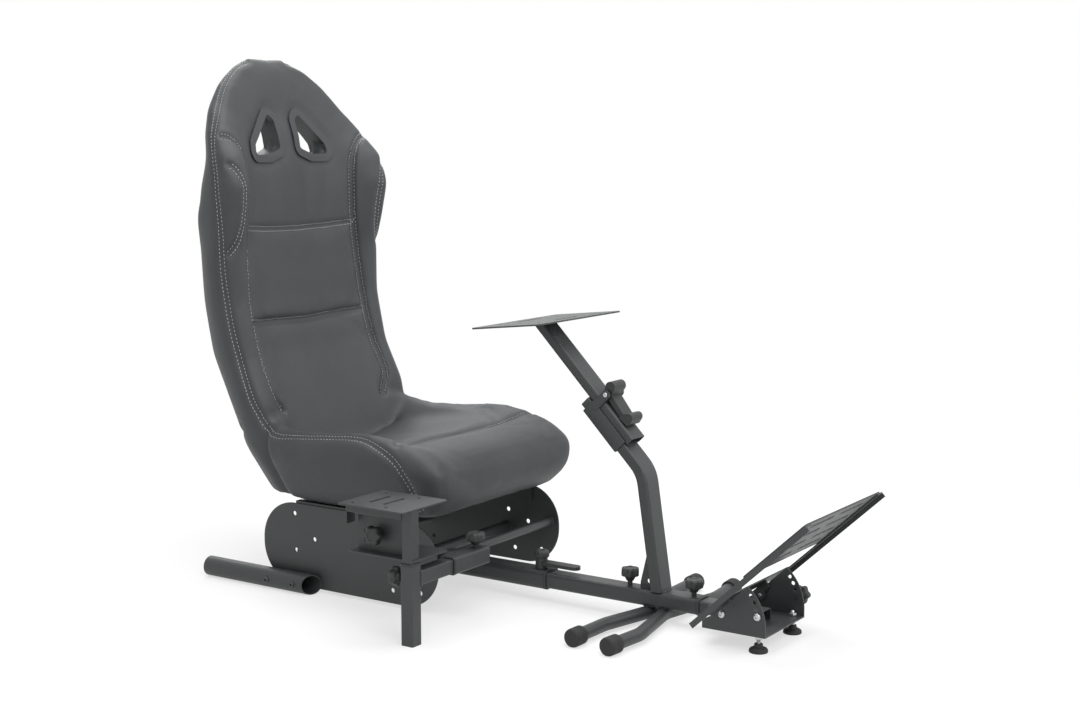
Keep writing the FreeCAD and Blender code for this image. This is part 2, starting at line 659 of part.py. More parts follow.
post_slit = placed(slit, slope(CLAMP_LOW - 1, POST_T / 2), right, post_n)
post_gap = placed(slit, slope(CLAMP_LOW - 1, -POST_T / 2), right, post_n)
clamp = clamp.cut(stem_way).cut(post_way).cut(post_slit).cut(post_gap)
pivot_t = CLAMP_HIGH - CLAMP_PIVOT_R - 2
pivot_q = clamp_q1 + CLAMP_PIVOT_R - 1
lug_y = CLAMP_HANDLE_W * 0.3
lug_in = lug_y + CLAMP_LUG_GAP
lug_end = lug_in + CLAMP_LUG_T
for s in (-1, 1):
    lug = rod(CLAMP_PIVOT_R, slope(pivot_t, pivot_q, s * lug_in), slope(pivot_t, pivot_q, s * lug_end))
    web = Part.makeBox(CLAMP_LUG_T, CLAMP_PIVOT_R, 2 * CLAMP_PIVOT_R,
                       Vec(-CLAMP_LUG_T / 2, -CLAMP_PIVOT_R, -CLAMP_PIVOT_R))
    web = placed(web, slope(pivot_t, pivot_q, s * (lug_in + lug_end) / 2), right, post_n)
    clamp = clamp.fuse(lug).fuse(web)
pin_end = lug_end + CLAMP_LUG_GAP * 2
clamp_pin = rod(CLAMP_PIN_R, slope(pivot_t, pivot_q, -pin_end), slope(pivot_t, pivot_q, pin_end))
nodes["post_clamp"] = clamp.cut(clamp_pin).removeSplitter()

# Cam lever of the clamp with its hollow block handle
cam = rod(CLAMP_PIVOT_R - 2, slope(pivot_t, pivot_q, -lug_y), slope(pivot_t, pivot_q, lug_y))
strip = placed(bar(2 * lug_y - CLAMP_R, CLAMP_STRIP_T, CLAMP_POCKET_R, pivot_t - CLAMP_LOW),
               slope(CLAMP_LOW, pivot_q + CLAMP_STRIP_T / 2), right, post_n)
handle_low = CLAMP_LOW - CLAMP_HANDLE_BELOW
handle = placed(bar(CLAMP_HANDLE_W, CLAMP_HANDLE_T, CLAMP_HANDLE_R, CLAMP_HANDLE_L), slope(handle_low, pivot_q),
                right, post_n)
pocket = placed(bar(CLAMP_POCKET_W, CLAMP_POCKET_T, CLAMP_POCKET_R, CLAMP_POCKET_L + 1),
                slope(handle_low - 1, pivot_q), right, post_n)
lever = cam.fuse(clamp_pin).fuse(strip).fuse(handle).cut(pocket)
for base_t, (up, out, radius) in ((pivot_t, CAM_LOBE), (CLAMP_LOW, HANDLE_LOBE)):
    lobe_low = slope(base_t + up, pivot_q + out, CLAMP_LUG_GAP - lug_y)
    lobe_high = slope(base_t + up, pivot_q + out, lug_y - CLAMP_LUG_GAP)
    lever = lever.fuse(rod(radius, lobe_low, lobe_high))
nodes["post_clamp_lever"] = lever.removeSplitter()

# Pedal tray: floor and two ears with the tilt holes
ped = math.radians(PEDAL_ANGLE)
ped_e = Vec(math.cos(ped), 0, math.sin(ped))
ped_n = Vec(-math.sin(ped), 0, math.cos(ped))
pivot = Vec(PIVOT_X, 0, PIVOT_Z)
ear_rise = PIVOT_DROP + SHEET - PLATE_CLEAR
ear_rear = pivot + ped_n * ear_rise - ped_e * EAR_BACK
ear_apex = pivot + ped_n * ear_rise + ped_e * EAR_APEX
ear_y = -TRAY_OUT
ear_points = [Vec(TRAY_FRONT, ear_y, TRAY_LOW + EAR_FRONT_H), Vec(TRAY_FRONT, ear_y, TRAY_LOW),
              Vec(TRAY_REAR, ear_y, TRAY_LOW), Vec(TRAY_REAR, ear_y, TRAY_LOW + EAR_REAR_H),
              Vec(ear_rear.x, ear_y, ear_rear.z), Vec(ear_apex.x, ear_y, ear_apex.z)]
ear_edges = [Part.makeLine(ear_points[i], ear_points[i + 1]) for i in range(len(ear_points) - 1)]
ear_mid = (ear_points[0] + ear_points[-1]) * 0.5 + EAR_BULGE
ear_edges.append(Part.Arc(ear_points[-1], ear_mid, ear_points[0]).toShape())
ear = Part.Face(Part.Wire(ear_edges)).extrude(Vec(0, SHEET, 0))
for angle in ARC_ANGLES:
    a = math.radians(angle)
    at = pivot + Vec(math.cos(a), 0, math.sin(a)) * ARC_R
    ear = ear.cut(rod(ARC_HOLE_R, Vec(at.x, ear_y - 1, at.z), Vec(at.x, ear_y + SHEET + 1, at.z)))
ear = ear.cut(rod(PIVOT_R, Vec(PIVOT_X, ear_y - 1, PIVOT_Z), Vec(PIVOT_X, ear_y + SHEET + 1, PIVOT_Z)))
tray = block(TRAY_REAR, TRAY_FRONT, -TRAY_OUT, TRAY_OUT, TRAY_LOW, RAIL_UNDER).fuse(ear).fuse(mirrored(ear))
for s in (-1, 1):
    tray = tray.cut(rod(FOOT_STUD_R, Vec(0, s * FOOT_Y, TRAY_LOW - 1), Vec(0, s * FOOT_Y, RAIL_UNDER + 1)))
nodes["pedal_tray"] = tray.removeSplitter()

# Levelling feet with studs through the tray
pad = Part.makeCone(FOOT_R, FOOT_R * 0.8, FOOT_H * 0.5, Vec(0, -FOOT_Y, FOOT_H * 0.5), AXIS_Z)
pad = pad.fuse(rod(FOOT_R, Vec(0, -FOOT_Y, 0), Vec(0, -FOOT_Y, FOOT_H * 0.5)))
stud = rod(FOOT_STUD_R, Vec(0, -FOOT_Y, FOOT_H), Vec(0, -FOOT_Y, RAIL_UNDER + FOOT_STUD_UP))
collar = rod(FOOT_STUD_R * 2, Vec(0, -FOOT_Y, FOOT_H), Vec(0, -FOOT_Y, FOOT_H + FOOT_COLLAR_H))
nut = rod(FOOT_STUD_R * 1.7, Vec(0, -FOOT_Y, TRAY_LOW - FOOT_NUT_H), Vec(0, -FOOT_Y, TRAY_LOW))
foot = pad.fuse(collar).fuse(stud).fuse(nut).removeSplitter()
nodes["right_level_foot"] = foot
nodes["left_level_foot"] = mirrored(foot)

# Pivot bolts through ear and lug; a knob on the left and a bolt on the right in the lowest hole of the arc
lug_out = -TRAY_OUT + SHEET + PEDAL_LUG_GAP
bolt = rod(PIVOT_R, Vec(PIVOT_X, -TRAY_OUT, PIVOT_Z), Vec(PIVOT_X, lug_out + PEDAL_LUG_T + BOLT_END, PIVOT_Z))
bolt = bolt.fuse(rod(PIVOT_R * 1.8, Vec(PIVOT_X, -TRAY_OUT - BOLT_HEAD_H, PIVOT_Z),
                     Vec(PIVOT_X, -TRAY_OUT, PIVOT_Z)))
nodes["pivot_bolts"] = Part.makeCompound([bolt.removeSplitter(), mirrored(bolt.removeSplitter())])
low = math.radians(ARC_ANGLES[0])
knob_at = pivot + Vec(math.cos(low), 0, math.sin(low)) * ARC_R
tilt_in = TRAY_OUT - SHEET - BOLT_END
tilt_stud = rod(ARC_HOLE_R, Vec(knob_at.x, tilt_in, knob_at.z), Vec(knob_at.x, TRAY_OUT, knob_at.z))
tilt_knob = star_knob(Vec(knob_at.x, TRAY_OUT, knob_at.z), AXIS_Y, TILT_KNOB_STUD).fuse(tilt_stud)
nodes["left_tilt_knob"] = tilt_knob.removeSplitter()
tilt_head = rod(ARC_HOLE_R * 1.9, Vec(knob_at.x, -TRAY_OUT - BOLT_HEAD_H, knob_at.z),
                Vec(knob_at.x, -TRAY_OUT, knob_at.z))
nodes["right_tilt_bolt"] = tilt_head.fuse(mirrored(tilt_stud)).removeSplitter()


# Pedal deck: s runs up the slope from the pivot, h up from the arms' underside
def deck(s, h, y=0.0):
    return pivot + ped_e * s + ped_n * (PIVOT_DROP + h) + AXIS_Y * y


pedal_top = PEDAL_L - PEDAL_BELOW
arm_y = -PEDAL_W / 2
arm_outline = [deck(-PEDAL_BELOW, -PEDAL_FLANGE + SHEET, arm_y), deck(-PEDAL_BELOW, SHEET, arm_y),
               deck(-PEDAL_BELOW, SHEET, arm_y + PEDAL_LEDGE), deck(-PEDAL_BELOW, 0, arm_y + PEDAL_LEDGE),
               deck(-PEDAL_BELOW, 0, arm_y + SHEET), deck(-PEDAL_BELOW, -PEDAL_FLANGE + SHEET, arm_y + SHEET)]
pedal_arm = polygon_face(arm_outline).extrude(ped_e * PEDAL_L)
nodes["right_pedal_arm"] = pedal_arm
nodes["left_pedal_arm"] = mirrored(pedal_arm)
panel_w = PEDAL_W - 2 * PEDAL_EDGE
panel_mid = (PEDAL_PANEL_LOW + pedal_top) / 2
pedal = bar(pedal_top - PEDAL_PANEL_LOW, panel_w, PEDAL_CORNER, SHEET)
pedal = placed(pedal, deck(panel_mid, SHEET), ped_e, AXIS_Y)
for s in (-1, 1):
    for t in PEDAL_HOLE_S:
        y = s * PEDAL_HOLE_Y
        pedal = pedal.cut(rod(PEDAL_HOLE_R, deck(t, SHEET - 1, y), deck(t, 2 * SHEET + 1, y)))
    for t in PEDAL_SLOT_S:
        hole = slot(PEDAL_SLOT_W, PEDAL_SLOT_L, SHEET + 2)
        pedal = pedal.cut(placed(hole, deck(t, SHEET - 1, s * PEDAL_SLOT_Y), ped_e, AXIS_Y))
nodes["pedal_plate"] = pedal
strip_mid = (PEDAL_STRIP_LOW + PEDAL_STRIP_HIGH) / 2
hinge = placed(bar(PEDAL_STRIP_HIGH - PEDAL_STRIP_LOW, panel_w, PEDAL_STRIP_R, SHEET), deck(strip_mid, SHEET),
               ped_e, AXIS_Y)
for s in (-1, 1):
    lug_y0 = s * (TRAY_OUT - SHEET - PEDAL_LUG_GAP)
    lug_y1 = lug_y0 - s * PEDAL_LUG_T
    ear_lug = rod(PEDAL_LUG_R, pivot + AXIS_Y * lug_y0, pivot + AXIS_Y * lug_y1)
    tab = Part.makeBox(PEDAL_LUG_R + PEDAL_LUG_L, PIVOT_DROP + SHEET, PEDAL_LUG_T, Vec(-PEDAL_LUG_R, 0, 0))
    ear_lug = ear_lug.fuse(placed(tab, pivot + AXIS_Y * max(lug_y0, lug_y1), ped_e, ped_n))
    pin_hole = rod(PIVOT_R + PIN_GAP, pivot + AXIS_Y * (lug_y0 + s), pivot + AXIS_Y * (lug_y1 - s))
    hinge = hinge.fuse(ear_lug.cut(pin_hole))
nodes["pedal_hinge"] = hinge.removeSplitter()

# Shifter sleeve, its clamp round the front cross tube, and the clamping knob
shift_sleeve_sq = LEG_SQ + 2 * (SLIDE_GAP + SHIFT_SLEEVE_WALL)
sleeve = tube(shift_sleeve_sq, shift_sleeve_sq, SHIFT_SLEEVE_R, SHIFT_SLEEVE_WALL,
              SHIFT_SLEEVE_IN - SHIFT_SLEEVE_OUT)
nodes["shifter_sleeve"] = along_y(sleeve, SHIFT_X, SHIFT_SLEEVE_OUT, ARM_Z)
sleeve_back = SHIFT_X - shift_sleeve_sq / 2
hook_r = FRONT_CROSS_R + HOOK_WALL
hook_points = [(FRONT_CROSS_X, FRONT_CROSS_Z - hook_r), (sleeve_back, ARM_Z - shift_sleeve_sq * HOOK_SHARE),
               (sleeve_back, ARM_Z + shift_sleeve_sq * HOOK_SHARE), (FRONT_CROSS_X, FRONT_CROSS_Z + hook_r)]
hook_y0 = CLAMP_Y - CLAMP_LONG / 2
hook_y1 = CLAMP_Y + CLAMP_LONG / 2
hook = sheet_xz(hook_points, hook_y0, hook_y1)
hook = hook.fuse(rod(hook_r, Vec(FRONT_CROSS_X, hook_y0, FRONT_CROSS_Z),
                     Vec(FRONT_CROSS_X, hook_y1, FRONT_CROSS_Z)))
hook = hook.cut(rod(FRONT_CROSS_R, Vec(FRONT_CROSS_X, hook_y0 - 1, FRONT_CROSS_Z),
                    Vec(FRONT_CROSS_X, hook_y1 + 1, FRONT_CROSS_Z)))
nodes["shifter_clamp"] = hook.removeSplitter()
sleeve_top = Vec(SHIFT_X, CLAMP_Y, ARM_Z + shift_sleeve_sq / 2)
nodes["shifter_sleeve_knob"] = star_knob(sleeve_top, AXIS_Z, SLEEVE_KNOB_STUD)

# Shifter arm and leg
leg_in = SHIFT_Y + LEG_SQ / 2
arm = tube(LEG_SQ, LEG_SQ, LEG_SQ_R, LEG_SQ_WALL, ARM_END_Y - leg_in)
nodes["shifter_arm_tube"] = along_y(arm, SHIFT_X, leg_in, ARM_Z)
leg = tube(LEG_SQ, LEG_SQ, LEG_SQ_R, LEG_SQ_WALL, SHIFT_LEG_TOP)
leg = leg.fuse(bar(LEG_SQ - 2 * LEG_SQ_WALL, LEG_SQ - 2 * LEG_SQ_WALL, LEG_SQ_R - LEG_SQ_WALL, LEG_PLUG))
leg.translate(Vec(SHIFT_X, SHIFT_Y, 0))
nodes["shifter_leg"] = leg.removeSplitter()
nodes["shifter_leg_knob"] = star_knob(Vec(SHIFT_X - LEG_SQ / 2, SHIFT_Y, ARM_Z), AXIS_X * -1.0, LEG_KNOB_STUD)

# Shifter stem, shelf and plate
stem_sq = tube(STEM_SQ, STEM_SQ, STEM_SQ_R, LEG_SQ_WALL, SHIFT_PLATE_Z - STEM_SQ_LOW)
stem_sq.translate(Vec(SHIFT_X, SHIFT_Y, STEM_SQ_LOW))
nodes["shifter_stem"] = stem_sq
shift_mid = Vec((SHIFT_REAR + SHIFT_FRONT) / 2, (SHIFT_NEAR + SHIFT_FAR) / 2, SHIFT_PLATE_Z)
top_plate = bar(SHIFT_FRONT - SHIFT_REAR, SHIFT_FAR - SHIFT_NEAR, SHIFT_CORNER, SHEET)
top_plate.translate(shift_mid)
for x in SHIFT_HOLES_X:
    for y in SHIFT_HOLES_Y:
        hole = rod(SHIFT_HOLE_R, Vec(x, y, SHIFT_PLATE_Z - 1), Vec(x, y, SHIFT_PLATE_Z + SHEET + 1))
        top_plate = top_plate.cut(hole)
for x in SHIFT_SLOTS_X:
    hole = slot(SHIFT_SLOT_W, SHIFT_SLOT_L, SHEET + 2)
    hole.translate(Vec(x, shift_mid.y, SHIFT_PLATE_Z - 1))
    top_plate = top_plate.cut(hole)
nodes["shifter_plate"] = top_plate
shelf = bar(SHIFT_FRONT - SHIFT_REAR, SHIFT_FAR - SHIFT_NEAR - SHELF_INSET, SHIFT_CORNER, SHEET)
shelf.translate(Vec(shift_mid.x, shift_mid.y + SHELF_INSET / 2, SHELF_Z))
stem_fill = bar(STEM_SQ, STEM_SQ, STEM_SQ_R, SHIFT_PLATE_Z)
stem_fill.translate(Vec(SHIFT_X, SHIFT_Y, 0))
nodes["shifter_shelf"] = shelf.cut(stem_fill)
stem_rear = SHIFT_X - STEM_SQ / 2
rail_z = SHIFT_PLATE_Z - SHIFT_RAIL_H / 2
rail_long = stem_rear - SHIFT_REAR + SHEET
shift_rail = tube(SHIFT_RAIL_W, SHIFT_RAIL_H, SHIFT_RAIL_R, SHIFT_RAIL_WALL, rail_long)
shift_rail = along_x(shift_rail, SHIFT_REAR - SHEET, SHIFT_Y, rail_z)
rear_tab = block(SHIFT_REAR - SHEET, SHIFT_REAR, SHIFT_Y - SHIFT_RAIL_W / 2, SHIFT_Y + SHIFT_RAIL_W / 2,
                 SHIFT_PLATE_Z - SHIFT_TAB, SHIFT_PLATE_Z - SHEET)
nodes["shifter_rail"] = shift_rail.fuse(rear_tab).removeSplitter()
web_y = SHIFT_Y + SHIFT_RAIL_W / 2
web_front = stem_rear - WEB_GAP
web_rear = SHIFT_REAR + WEB_INSET
web_points = [(web_rear, SHELF_Z + SHEET), (web_front, SHELF_Z + SHEET), (web_front, SHIFT_PLATE_Z),
              (web_rear, SHIFT_PLATE_Z)]
web = sheet_xz(web_points, web_y, web_y + SHEET)
window = [(SHIFT_REAR + x, SHELF_Z + z) for x, z in WEB_WINDOW]
nodes["shifter_web"] = web.cut(sheet_xz(window, web_y - 1, web_y + SHEET + 1))
web_mid = (SHELF_Z + SHIFT_PLATE_Z - SHIFT_RAIL_H) / 2
web_knob_at = Vec((SHIFT_REAR + web_front) / 2, web_y, web_mid)
nodes["shifter_web_knob"] = star_knob(web_knob_at, AXIS_Y * -1.0, WEB_KNOB_STUD)

# The row's origin is the middle of the whole object's box on the floor
whole = Part.makeCompound(list(nodes.values())).optimalBoundingBox(False, False)
SHIFT = Vec(-(whole.XMin + whole.XMax) / 2, -(whole.YMin + whole.YMax) / 2, -whole.ZMin)
for name, shape in nodes.items():
    shape.translate(SHIFT)
    shape.exportStep("parts/" + name + ".step")
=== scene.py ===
import json
import math
import random

import bmesh
import bpy
from mathutils import Matrix, Vector
from mathutils.bvhtree import BVHTree
from mathutils.kdtree import KDTree


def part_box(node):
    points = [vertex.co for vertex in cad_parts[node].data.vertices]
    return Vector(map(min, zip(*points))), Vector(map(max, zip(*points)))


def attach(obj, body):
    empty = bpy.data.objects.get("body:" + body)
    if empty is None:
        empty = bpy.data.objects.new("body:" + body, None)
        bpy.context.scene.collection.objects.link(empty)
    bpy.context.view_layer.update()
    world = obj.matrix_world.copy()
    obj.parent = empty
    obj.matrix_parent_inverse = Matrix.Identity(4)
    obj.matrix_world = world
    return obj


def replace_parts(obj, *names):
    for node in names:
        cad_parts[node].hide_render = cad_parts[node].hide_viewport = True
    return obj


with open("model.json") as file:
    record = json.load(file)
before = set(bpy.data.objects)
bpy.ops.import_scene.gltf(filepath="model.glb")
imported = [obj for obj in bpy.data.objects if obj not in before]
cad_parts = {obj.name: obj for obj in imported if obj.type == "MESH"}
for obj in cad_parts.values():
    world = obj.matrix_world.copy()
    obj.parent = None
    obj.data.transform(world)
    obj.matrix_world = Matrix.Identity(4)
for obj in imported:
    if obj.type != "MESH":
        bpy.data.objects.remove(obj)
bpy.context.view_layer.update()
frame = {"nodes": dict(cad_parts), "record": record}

NODES = frame["nodes"]
MM = 0.001
SIDES = (-1, 1)
UP = Vector((0, 0, 1))
DOWN = -UP
FORWARD = Vector((1, 0, 0))
RIGHT = Vector((0, -1, 0))


def middle(node):
    low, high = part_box(node)
    return (low + high) / 2


# Middle of that end of a node's box which the direction points to
def end_of(node, direction):
    low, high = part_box(node)
    return middle(node) + Vector([d * h for d, h in zip(direction, (high - low) / 2)])


# Places are in millimetres from the levelling feet, the middle plane and the floor
FEET = (middle("right_level_foot") + middle("left_level_foot")) / 2


def at(x, y, z):
    return Vector((FEET.x + x * MM, FEET.y + y * MM, z * MM))


# Camera, at the photograph's angle
CAMERA_PLACE = (1335.3, -2780.5, 946.3)
CAMERA_AZIMUTH = math.radians(33.916)
CAMERA_PITCH = math.radians(7.64)
CAMERA_LENS = 55.832
CAMERA_SENSOR = 36.0

# Seat cover: foam under a sewn skin that swells between its seams
SEAT_NODES = ("seat_back", "seat_cushion")
SKIN_MERGE = 0.01
SKIN_EASE = 0.5
COVER_VOXEL = 7.0
COVER_SMOOTHING = 14
COVER_GROW = 3.0
COVER_PRESSURE = 4.0
COVER_SWELL = 6.0
SIM_VOXEL = 17.0
SIM_SMOOTHING = 2
SIM_FRAMES = 12
SIM_QUALITY = 4
SIM_NEAREST = 5
SEAM_HOLD = 12.0
BEZEL_HOLD = 16.0
UNDER_HOLD = 200.0
HOLD_FADE = 0.7
SEAM_STEP = 2.0
SEAM_WIDTH = 7.0
SEAM_REACH = 3
SEAM_DEPTH = {"inner": 5.0, "wing": 2.6, "rim": 2.2, "upper": 2.6, "lower": 4.5, "front": 2.6}
DOUBLE_STITCHED = ("inner", "wing", "rim", "upper")
STITCH_PITCH = 6.5
STITCH_LENGTH = 4.6
STITCH_THICK = 1.3
STITCH_FLAT = 0.8
STITCH_PROUD = 0.2
STITCH_OFFSET = 4.6

# Seams are drawn in a view and laid on the skin from in front of the back or from above the cushion
SCAN_X = -700
SCAN_Z = 600
SCAN_DEPTH = 450
# Seams of the back, seen from the front: (y, z)
BACK_INNER = [(184, 296), (187, 400), (186, 500), (184, 600), (178, 690), (172, 750), (169, 810), (171, 865),
              (180, 908), (203, 936), (226, 944)]
BACK_WING = [(246, 885), (236, 873), (224, 846), (218, 800), (219, 757), (227, 722), (240, 698)]
BACK_UPPER = [(-172, 750), (-90, 744), (0, 742), (90, 744), (172, 750)]
BACK_LOWER = [(-185, 551), (-90, 544), (0, 541), (90, 544), (185, 551)]
# Seam round the edge of the back and along the thigh bolsters: (x, y, z)
RIM = [(-1262, 60, 1102), (-1256, 107, 1086), (-1240, 160, 1046), (-1216, 205, 992), (-1196, 240, 940),
       (-1172, 258, 860), (-1166, 254, 760), (-1168, 249, 660), (-1152, 244, 545), (-1119, 241, 440),
       (-1088, 240, 375), (-1040, 244, 330), (-965, 244, 330), (-883, 244, 336), (-805, 243, 339),
       (-752, 248, 328), (-710, 250, 308), (-685, 248, 280), (-670, 240, 248), (-660, 232, 206)]
# Seam across the front of the cushion, seen from above: (x, y)
CUSHION_FRONT = [(-716, -232), (-748, -170), (-760, -90), (-762, 0), (-760, 90), (-748, 170), (-716, 232)]


def linear(colour):
    channels = [int(colour[i:i + 2], 16) / 255 for i in (1, 3, 5)]
    return [c / 12.92 if c <= 0.04045 else ((c + 0.055) / 1.055) ** 2.4 for c in channels] + [1.0]


def per_mm(size):
    return 1 / (size * MM)


def add(tree, kind, links=None, **settings):
    made = tree.nodes.new(kind)
    for name, value in settings.items():
        setattr(made, name, value)
    for socket, value in (links or {}).items():
        if isinstance(value, bpy.types.NodeSocket):
            tree.links.new(value, made.inputs[socket])
        else:
            made.inputs[socket].default_value = value
    return made


def new_material(name):
    material = bpy.data.materials.new(name)
    material.use_nodes = True
    tree = material.node_tree
    tree.nodes.clear()
    return material, tree


def noise(tree, size, detail):
    where = add(tree, "ShaderNodeTexCoord")
    return add(tree, "ShaderNodeTexNoise", {
        "Vector": where.outputs["Object"], "Scale": per_mm(size), "Detail": detail}).outputs["Fac"]


def tint(tree, factor, dark, light):
    ramp = add(tree, "ShaderNodeValToRGB", {"Fac": factor})
    ramp.color_ramp.elements[0].color = linear(dark)
    ramp.color_ramp.elements[1].color = linear(light)
    return ramp.outputs["Color"]


def between(tree, factor, low, high):
    return add(tree, "ShaderNodeMapRange", {"Value": factor, "To Min": low, "To Max": high}).outputs[0]


def coat(tree, **sockets):
    named = {name.replace("_", " "): value for name, value in sockets.items()}
    shader = add(tree, "ShaderNodeBsdfPrincipled", named)
    add(tree, "ShaderNodeOutputMaterial", {"Surface": shader.outputs[0]})


# Embossed polyurethane leather: a fine pebble grain, faint cloudiness, a broad soft shine
def leather():
    material, tree = new_material("embossed_pu_leather")
    cloud = noise(tree, size=70, detail=3.0)
    crease = noise(tree, size=9, detail=5.0)
    # Real pebbles are about 1 mm; they are drawn at 2 mm so that they show
    where = add(tree, "ShaderNodeTexCoord")
    pebble = add(tree, "ShaderNodeTexVoronoi", {"Vector": where.outputs["Object"], "Scale": per_mm(2.0)},
                 feature="SMOOTH_F1")
    height = add(tree, "ShaderNodeMath", {0: pebble.outputs["Distance"], 1: crease}, operation="ADD")
    bump = add(tree, "ShaderNodeBump", {"Height": height.outputs[0], "Strength": 0.22, "Distance": 0.6 * MM})
    coat(tree, Base_Color=tint(tree, cloud, "#313335", "#3c3e40"), Roughness=between(tree, crease, 0.46, 0.6),
         Normal=bump.outputs[0], IOR=1.5, Specular_IOR_Level=0.42)
    return material


# Powder-coated steel: baked paint with a fine orange peel that rounds every edge
def powder_coat():
    material, tree = new_material("powder_coated_steel")
    cloud = noise(tree, size=45, detail=4.0)
    peel = noise(tree, size=1.4, detail=2.0)
    edge = add(tree, "ShaderNodeBevel", {"Radius": 0.9 * MM}, samples=4)
    bump = add(tree, "ShaderNodeBump", {"Height": peel, "Strength": 0.16, "Distance": 0.4 * MM,
                                        "Normal": edge.outputs[0]})
    coat(tree, Base_Color=tint(tree, cloud, "#2d2f30", "#37393a"), Roughness=between(tree, cloud, 0.4, 0.52),
         Normal=bump.outputs[0], IOR=1.5, Specular_IOR_Level=0.5)
    return material


# Moulded nylon, ABS and rubber: the dull, finely pitted face that a spark-eroded mould leaves
def moulded(name, dark, light, rough):
    material, tree = new_material(name)
    cloud = noise(tree, size=18, detail=4.0)
    grain = noise(tree, size=0.9, detail=3.0)
    edge = add(tree, "ShaderNodeBevel", {"Radius": 0.8 * MM}, samples=4)
    bump = add(tree, "ShaderNodeBump", {"Height": grain, "Strength": 0.2, "Distance": 0.3 * MM,
                                        "Normal": edge.outputs[0]})
    coat(tree, Base_Color=tint(tree, cloud, dark, light), Roughness=between(tree, cloud, rough - 0.05, rough + 0.07),
         Normal=bump.outputs[0], IOR=1.48)
    return material


# Bright zinc plate: cool silver with a faint mottle in its shine
def zinc_plate():
    material, tree = new_material("zinc_plated_steel")
    mottle = noise(tree, size=1.2, detail=3.0)
    coat(tree, Base_Color=tint(tree, mottle, "#a9abad", "#d6d8d9"), Metallic=1.0,
         Roughness=between(tree, mottle, 0.22, 0.4))
    return material


# Bonded polyester thread: pale grey and dull, with fine light and dark fibres
def thread():
    material, tree = new_material("polyester_thread")
    fibre = noise(tree, size=1.5, detail=2.0)
    coat(tree, Base_Color=tint(tree, fibre, "#a3a5a4", "#c9cac8"), Roughness=0.7)
    return material


LEATHER = leather()
STEEL = powder_coat()
PLASTIC = moulded("moulded_nylon", "#232425", "#2c2d2e", 0.5)
BEZEL = moulded("moulded_abs", "#303233", "#383a3b", 0.48)
RUBBER = moulded("moulded_rubber", "#1d1d1e", "#262627", 0.72)
ZINC = zinc_plate()
THREAD = thread()
FINISH = {"upholstery": LEATHER, "frame_steel": STEEL, "black_plastic": PLASTIC, "black_rubber": RUBBER, "zinc": ZINC}

for row in frame["record"]["subparts"]:
    mesh = NODES[row["node"]].data
    mesh.materials.clear()
    mesh.materials.append(BEZEL if "bezel" in row["node"] else FINISH[row["material_slot"]])


def mesh_of(name, bm):
    mesh = bpy.data.meshes.new(name)
    bm.to_mesh(mesh)
    bm.free()
    return mesh


def linked(name, data):
    made = bpy.data.objects.new(name, data)
    bpy.context.scene.collection.objects.link(made)
    return made


def joined(parts):
    whole = bmesh.new()
    for bm in parts:
        mesh = mesh_of("part", bm)
        whole.from_mesh(mesh)
        bpy.data.meshes.remove(mesh)
    return whole


EDGE_ANGLE = math.radians(38)


def piece(name, bm, material, body):
    made = linked(name, mesh_of(name, bm))
    made.data.materials.append(material)
    for face in made.data.polygons:
        face.use_smooth = True
    made.data.set_sharp_from_angle(angle=EDGE_ANGLE)
    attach(made, body)
    return made


# Seat cover: back and cushion under one skin
def seat_skin(name, voxel, smoothing):
    bm = bmesh.new()
    for node in SEAT_NODES:
        bm.from_mesh(NODES[node].data)
    bmesh.ops.remove_doubles(bm, verts=bm.verts, dist=SKIN_MERGE * MM)
    skin = linked(name, mesh_of(name, bm))
    bpy.context.view_layer.objects.active = skin
    skin.data.remesh_voxel_size = voxel * MM
    bpy.ops.object.voxel_remesh()
    bm = bmesh.new()
    bm.from_mesh(skin.data)
    for i in range(smoothing):
        bmesh.ops.smooth_vert(bm, verts=bm.verts, factor=SKIN_EASE, use_axis_x=True, use_axis_y=True, use_axis_z=True)
    return skin, bm


def fade(distance, hold):
    return max(0.0, 1.0 - distance / (hold * MM)) ** HOLD_FADE


def nearby(points):
    tree = KDTree(len(points))
    for i, p in enumerate(points):
        tree.insert(p, i)
    tree.balance()
    return tree


# How firmly each point of a skin is held: by a seam, by a harness bezel, or by the pan it sits on
def cover_hold(mesh, paths, seam_hold):
    seams = nearby([p for path in paths.values() for p in path])
    rims = nearby([v.co for side in ("left", "right") for v in NODES[side + "_harness_bezel"].data.vertices])
    hold = []
    for v in mesh.vertices:
        firm = max(fade(seams.find(v.co)[2], seam_hold), fade(rims.find(v.co)[2], BEZEL_HOLD))
        hold.append(1.0 if v.co.z < UNDER_HOLD * MM else min(1.0, firm))
    return hold


# A coarse skin is blown up as cloth between its seams; the cover takes its swelling over
def cloth_swelling(paths):
    skin, bm = seat_skin("seat_cloth", SIM_VOXEL, SIM_SMOOTHING)
    bm.to_mesh(skin.data)
    bm.free()
    hold = cover_hold(skin.data, paths, SIM_VOXEL)
    start = [v.co.copy() for v in skin.data.vertices]
    group = skin.vertex_groups.new(name="held")
    for i, firm in enumerate(hold):
        group.add([i], firm, "REPLACE")
    cloth = skin.modifiers.new("cover", "CLOTH")
    cloth.settings.vertex_group_mass = "held"
    cloth.settings.use_pressure = True
    cloth.settings.uniform_pressure_force = COVER_PRESSURE
    cloth.settings.effector_weights.gravity = 0.0
    cloth.settings.quality = SIM_QUALITY
    scene = bpy.context.scene
    for number in range(1, SIM_FRAMES + 1):
        scene.frame_set(number)
    swollen = skin.evaluated_get(bpy.context.evaluated_depsgraph_get()).data
    moves = [v.co - first for v, first in zip(swollen.vertices, start)]
    moves = [m * min(1.0, COVER_SWELL * MM / max(m.length, 1e-9)) for m in moves]
    bpy.data.objects.remove(skin)
    scene.frame_set(1)
    return nearby(start), moves


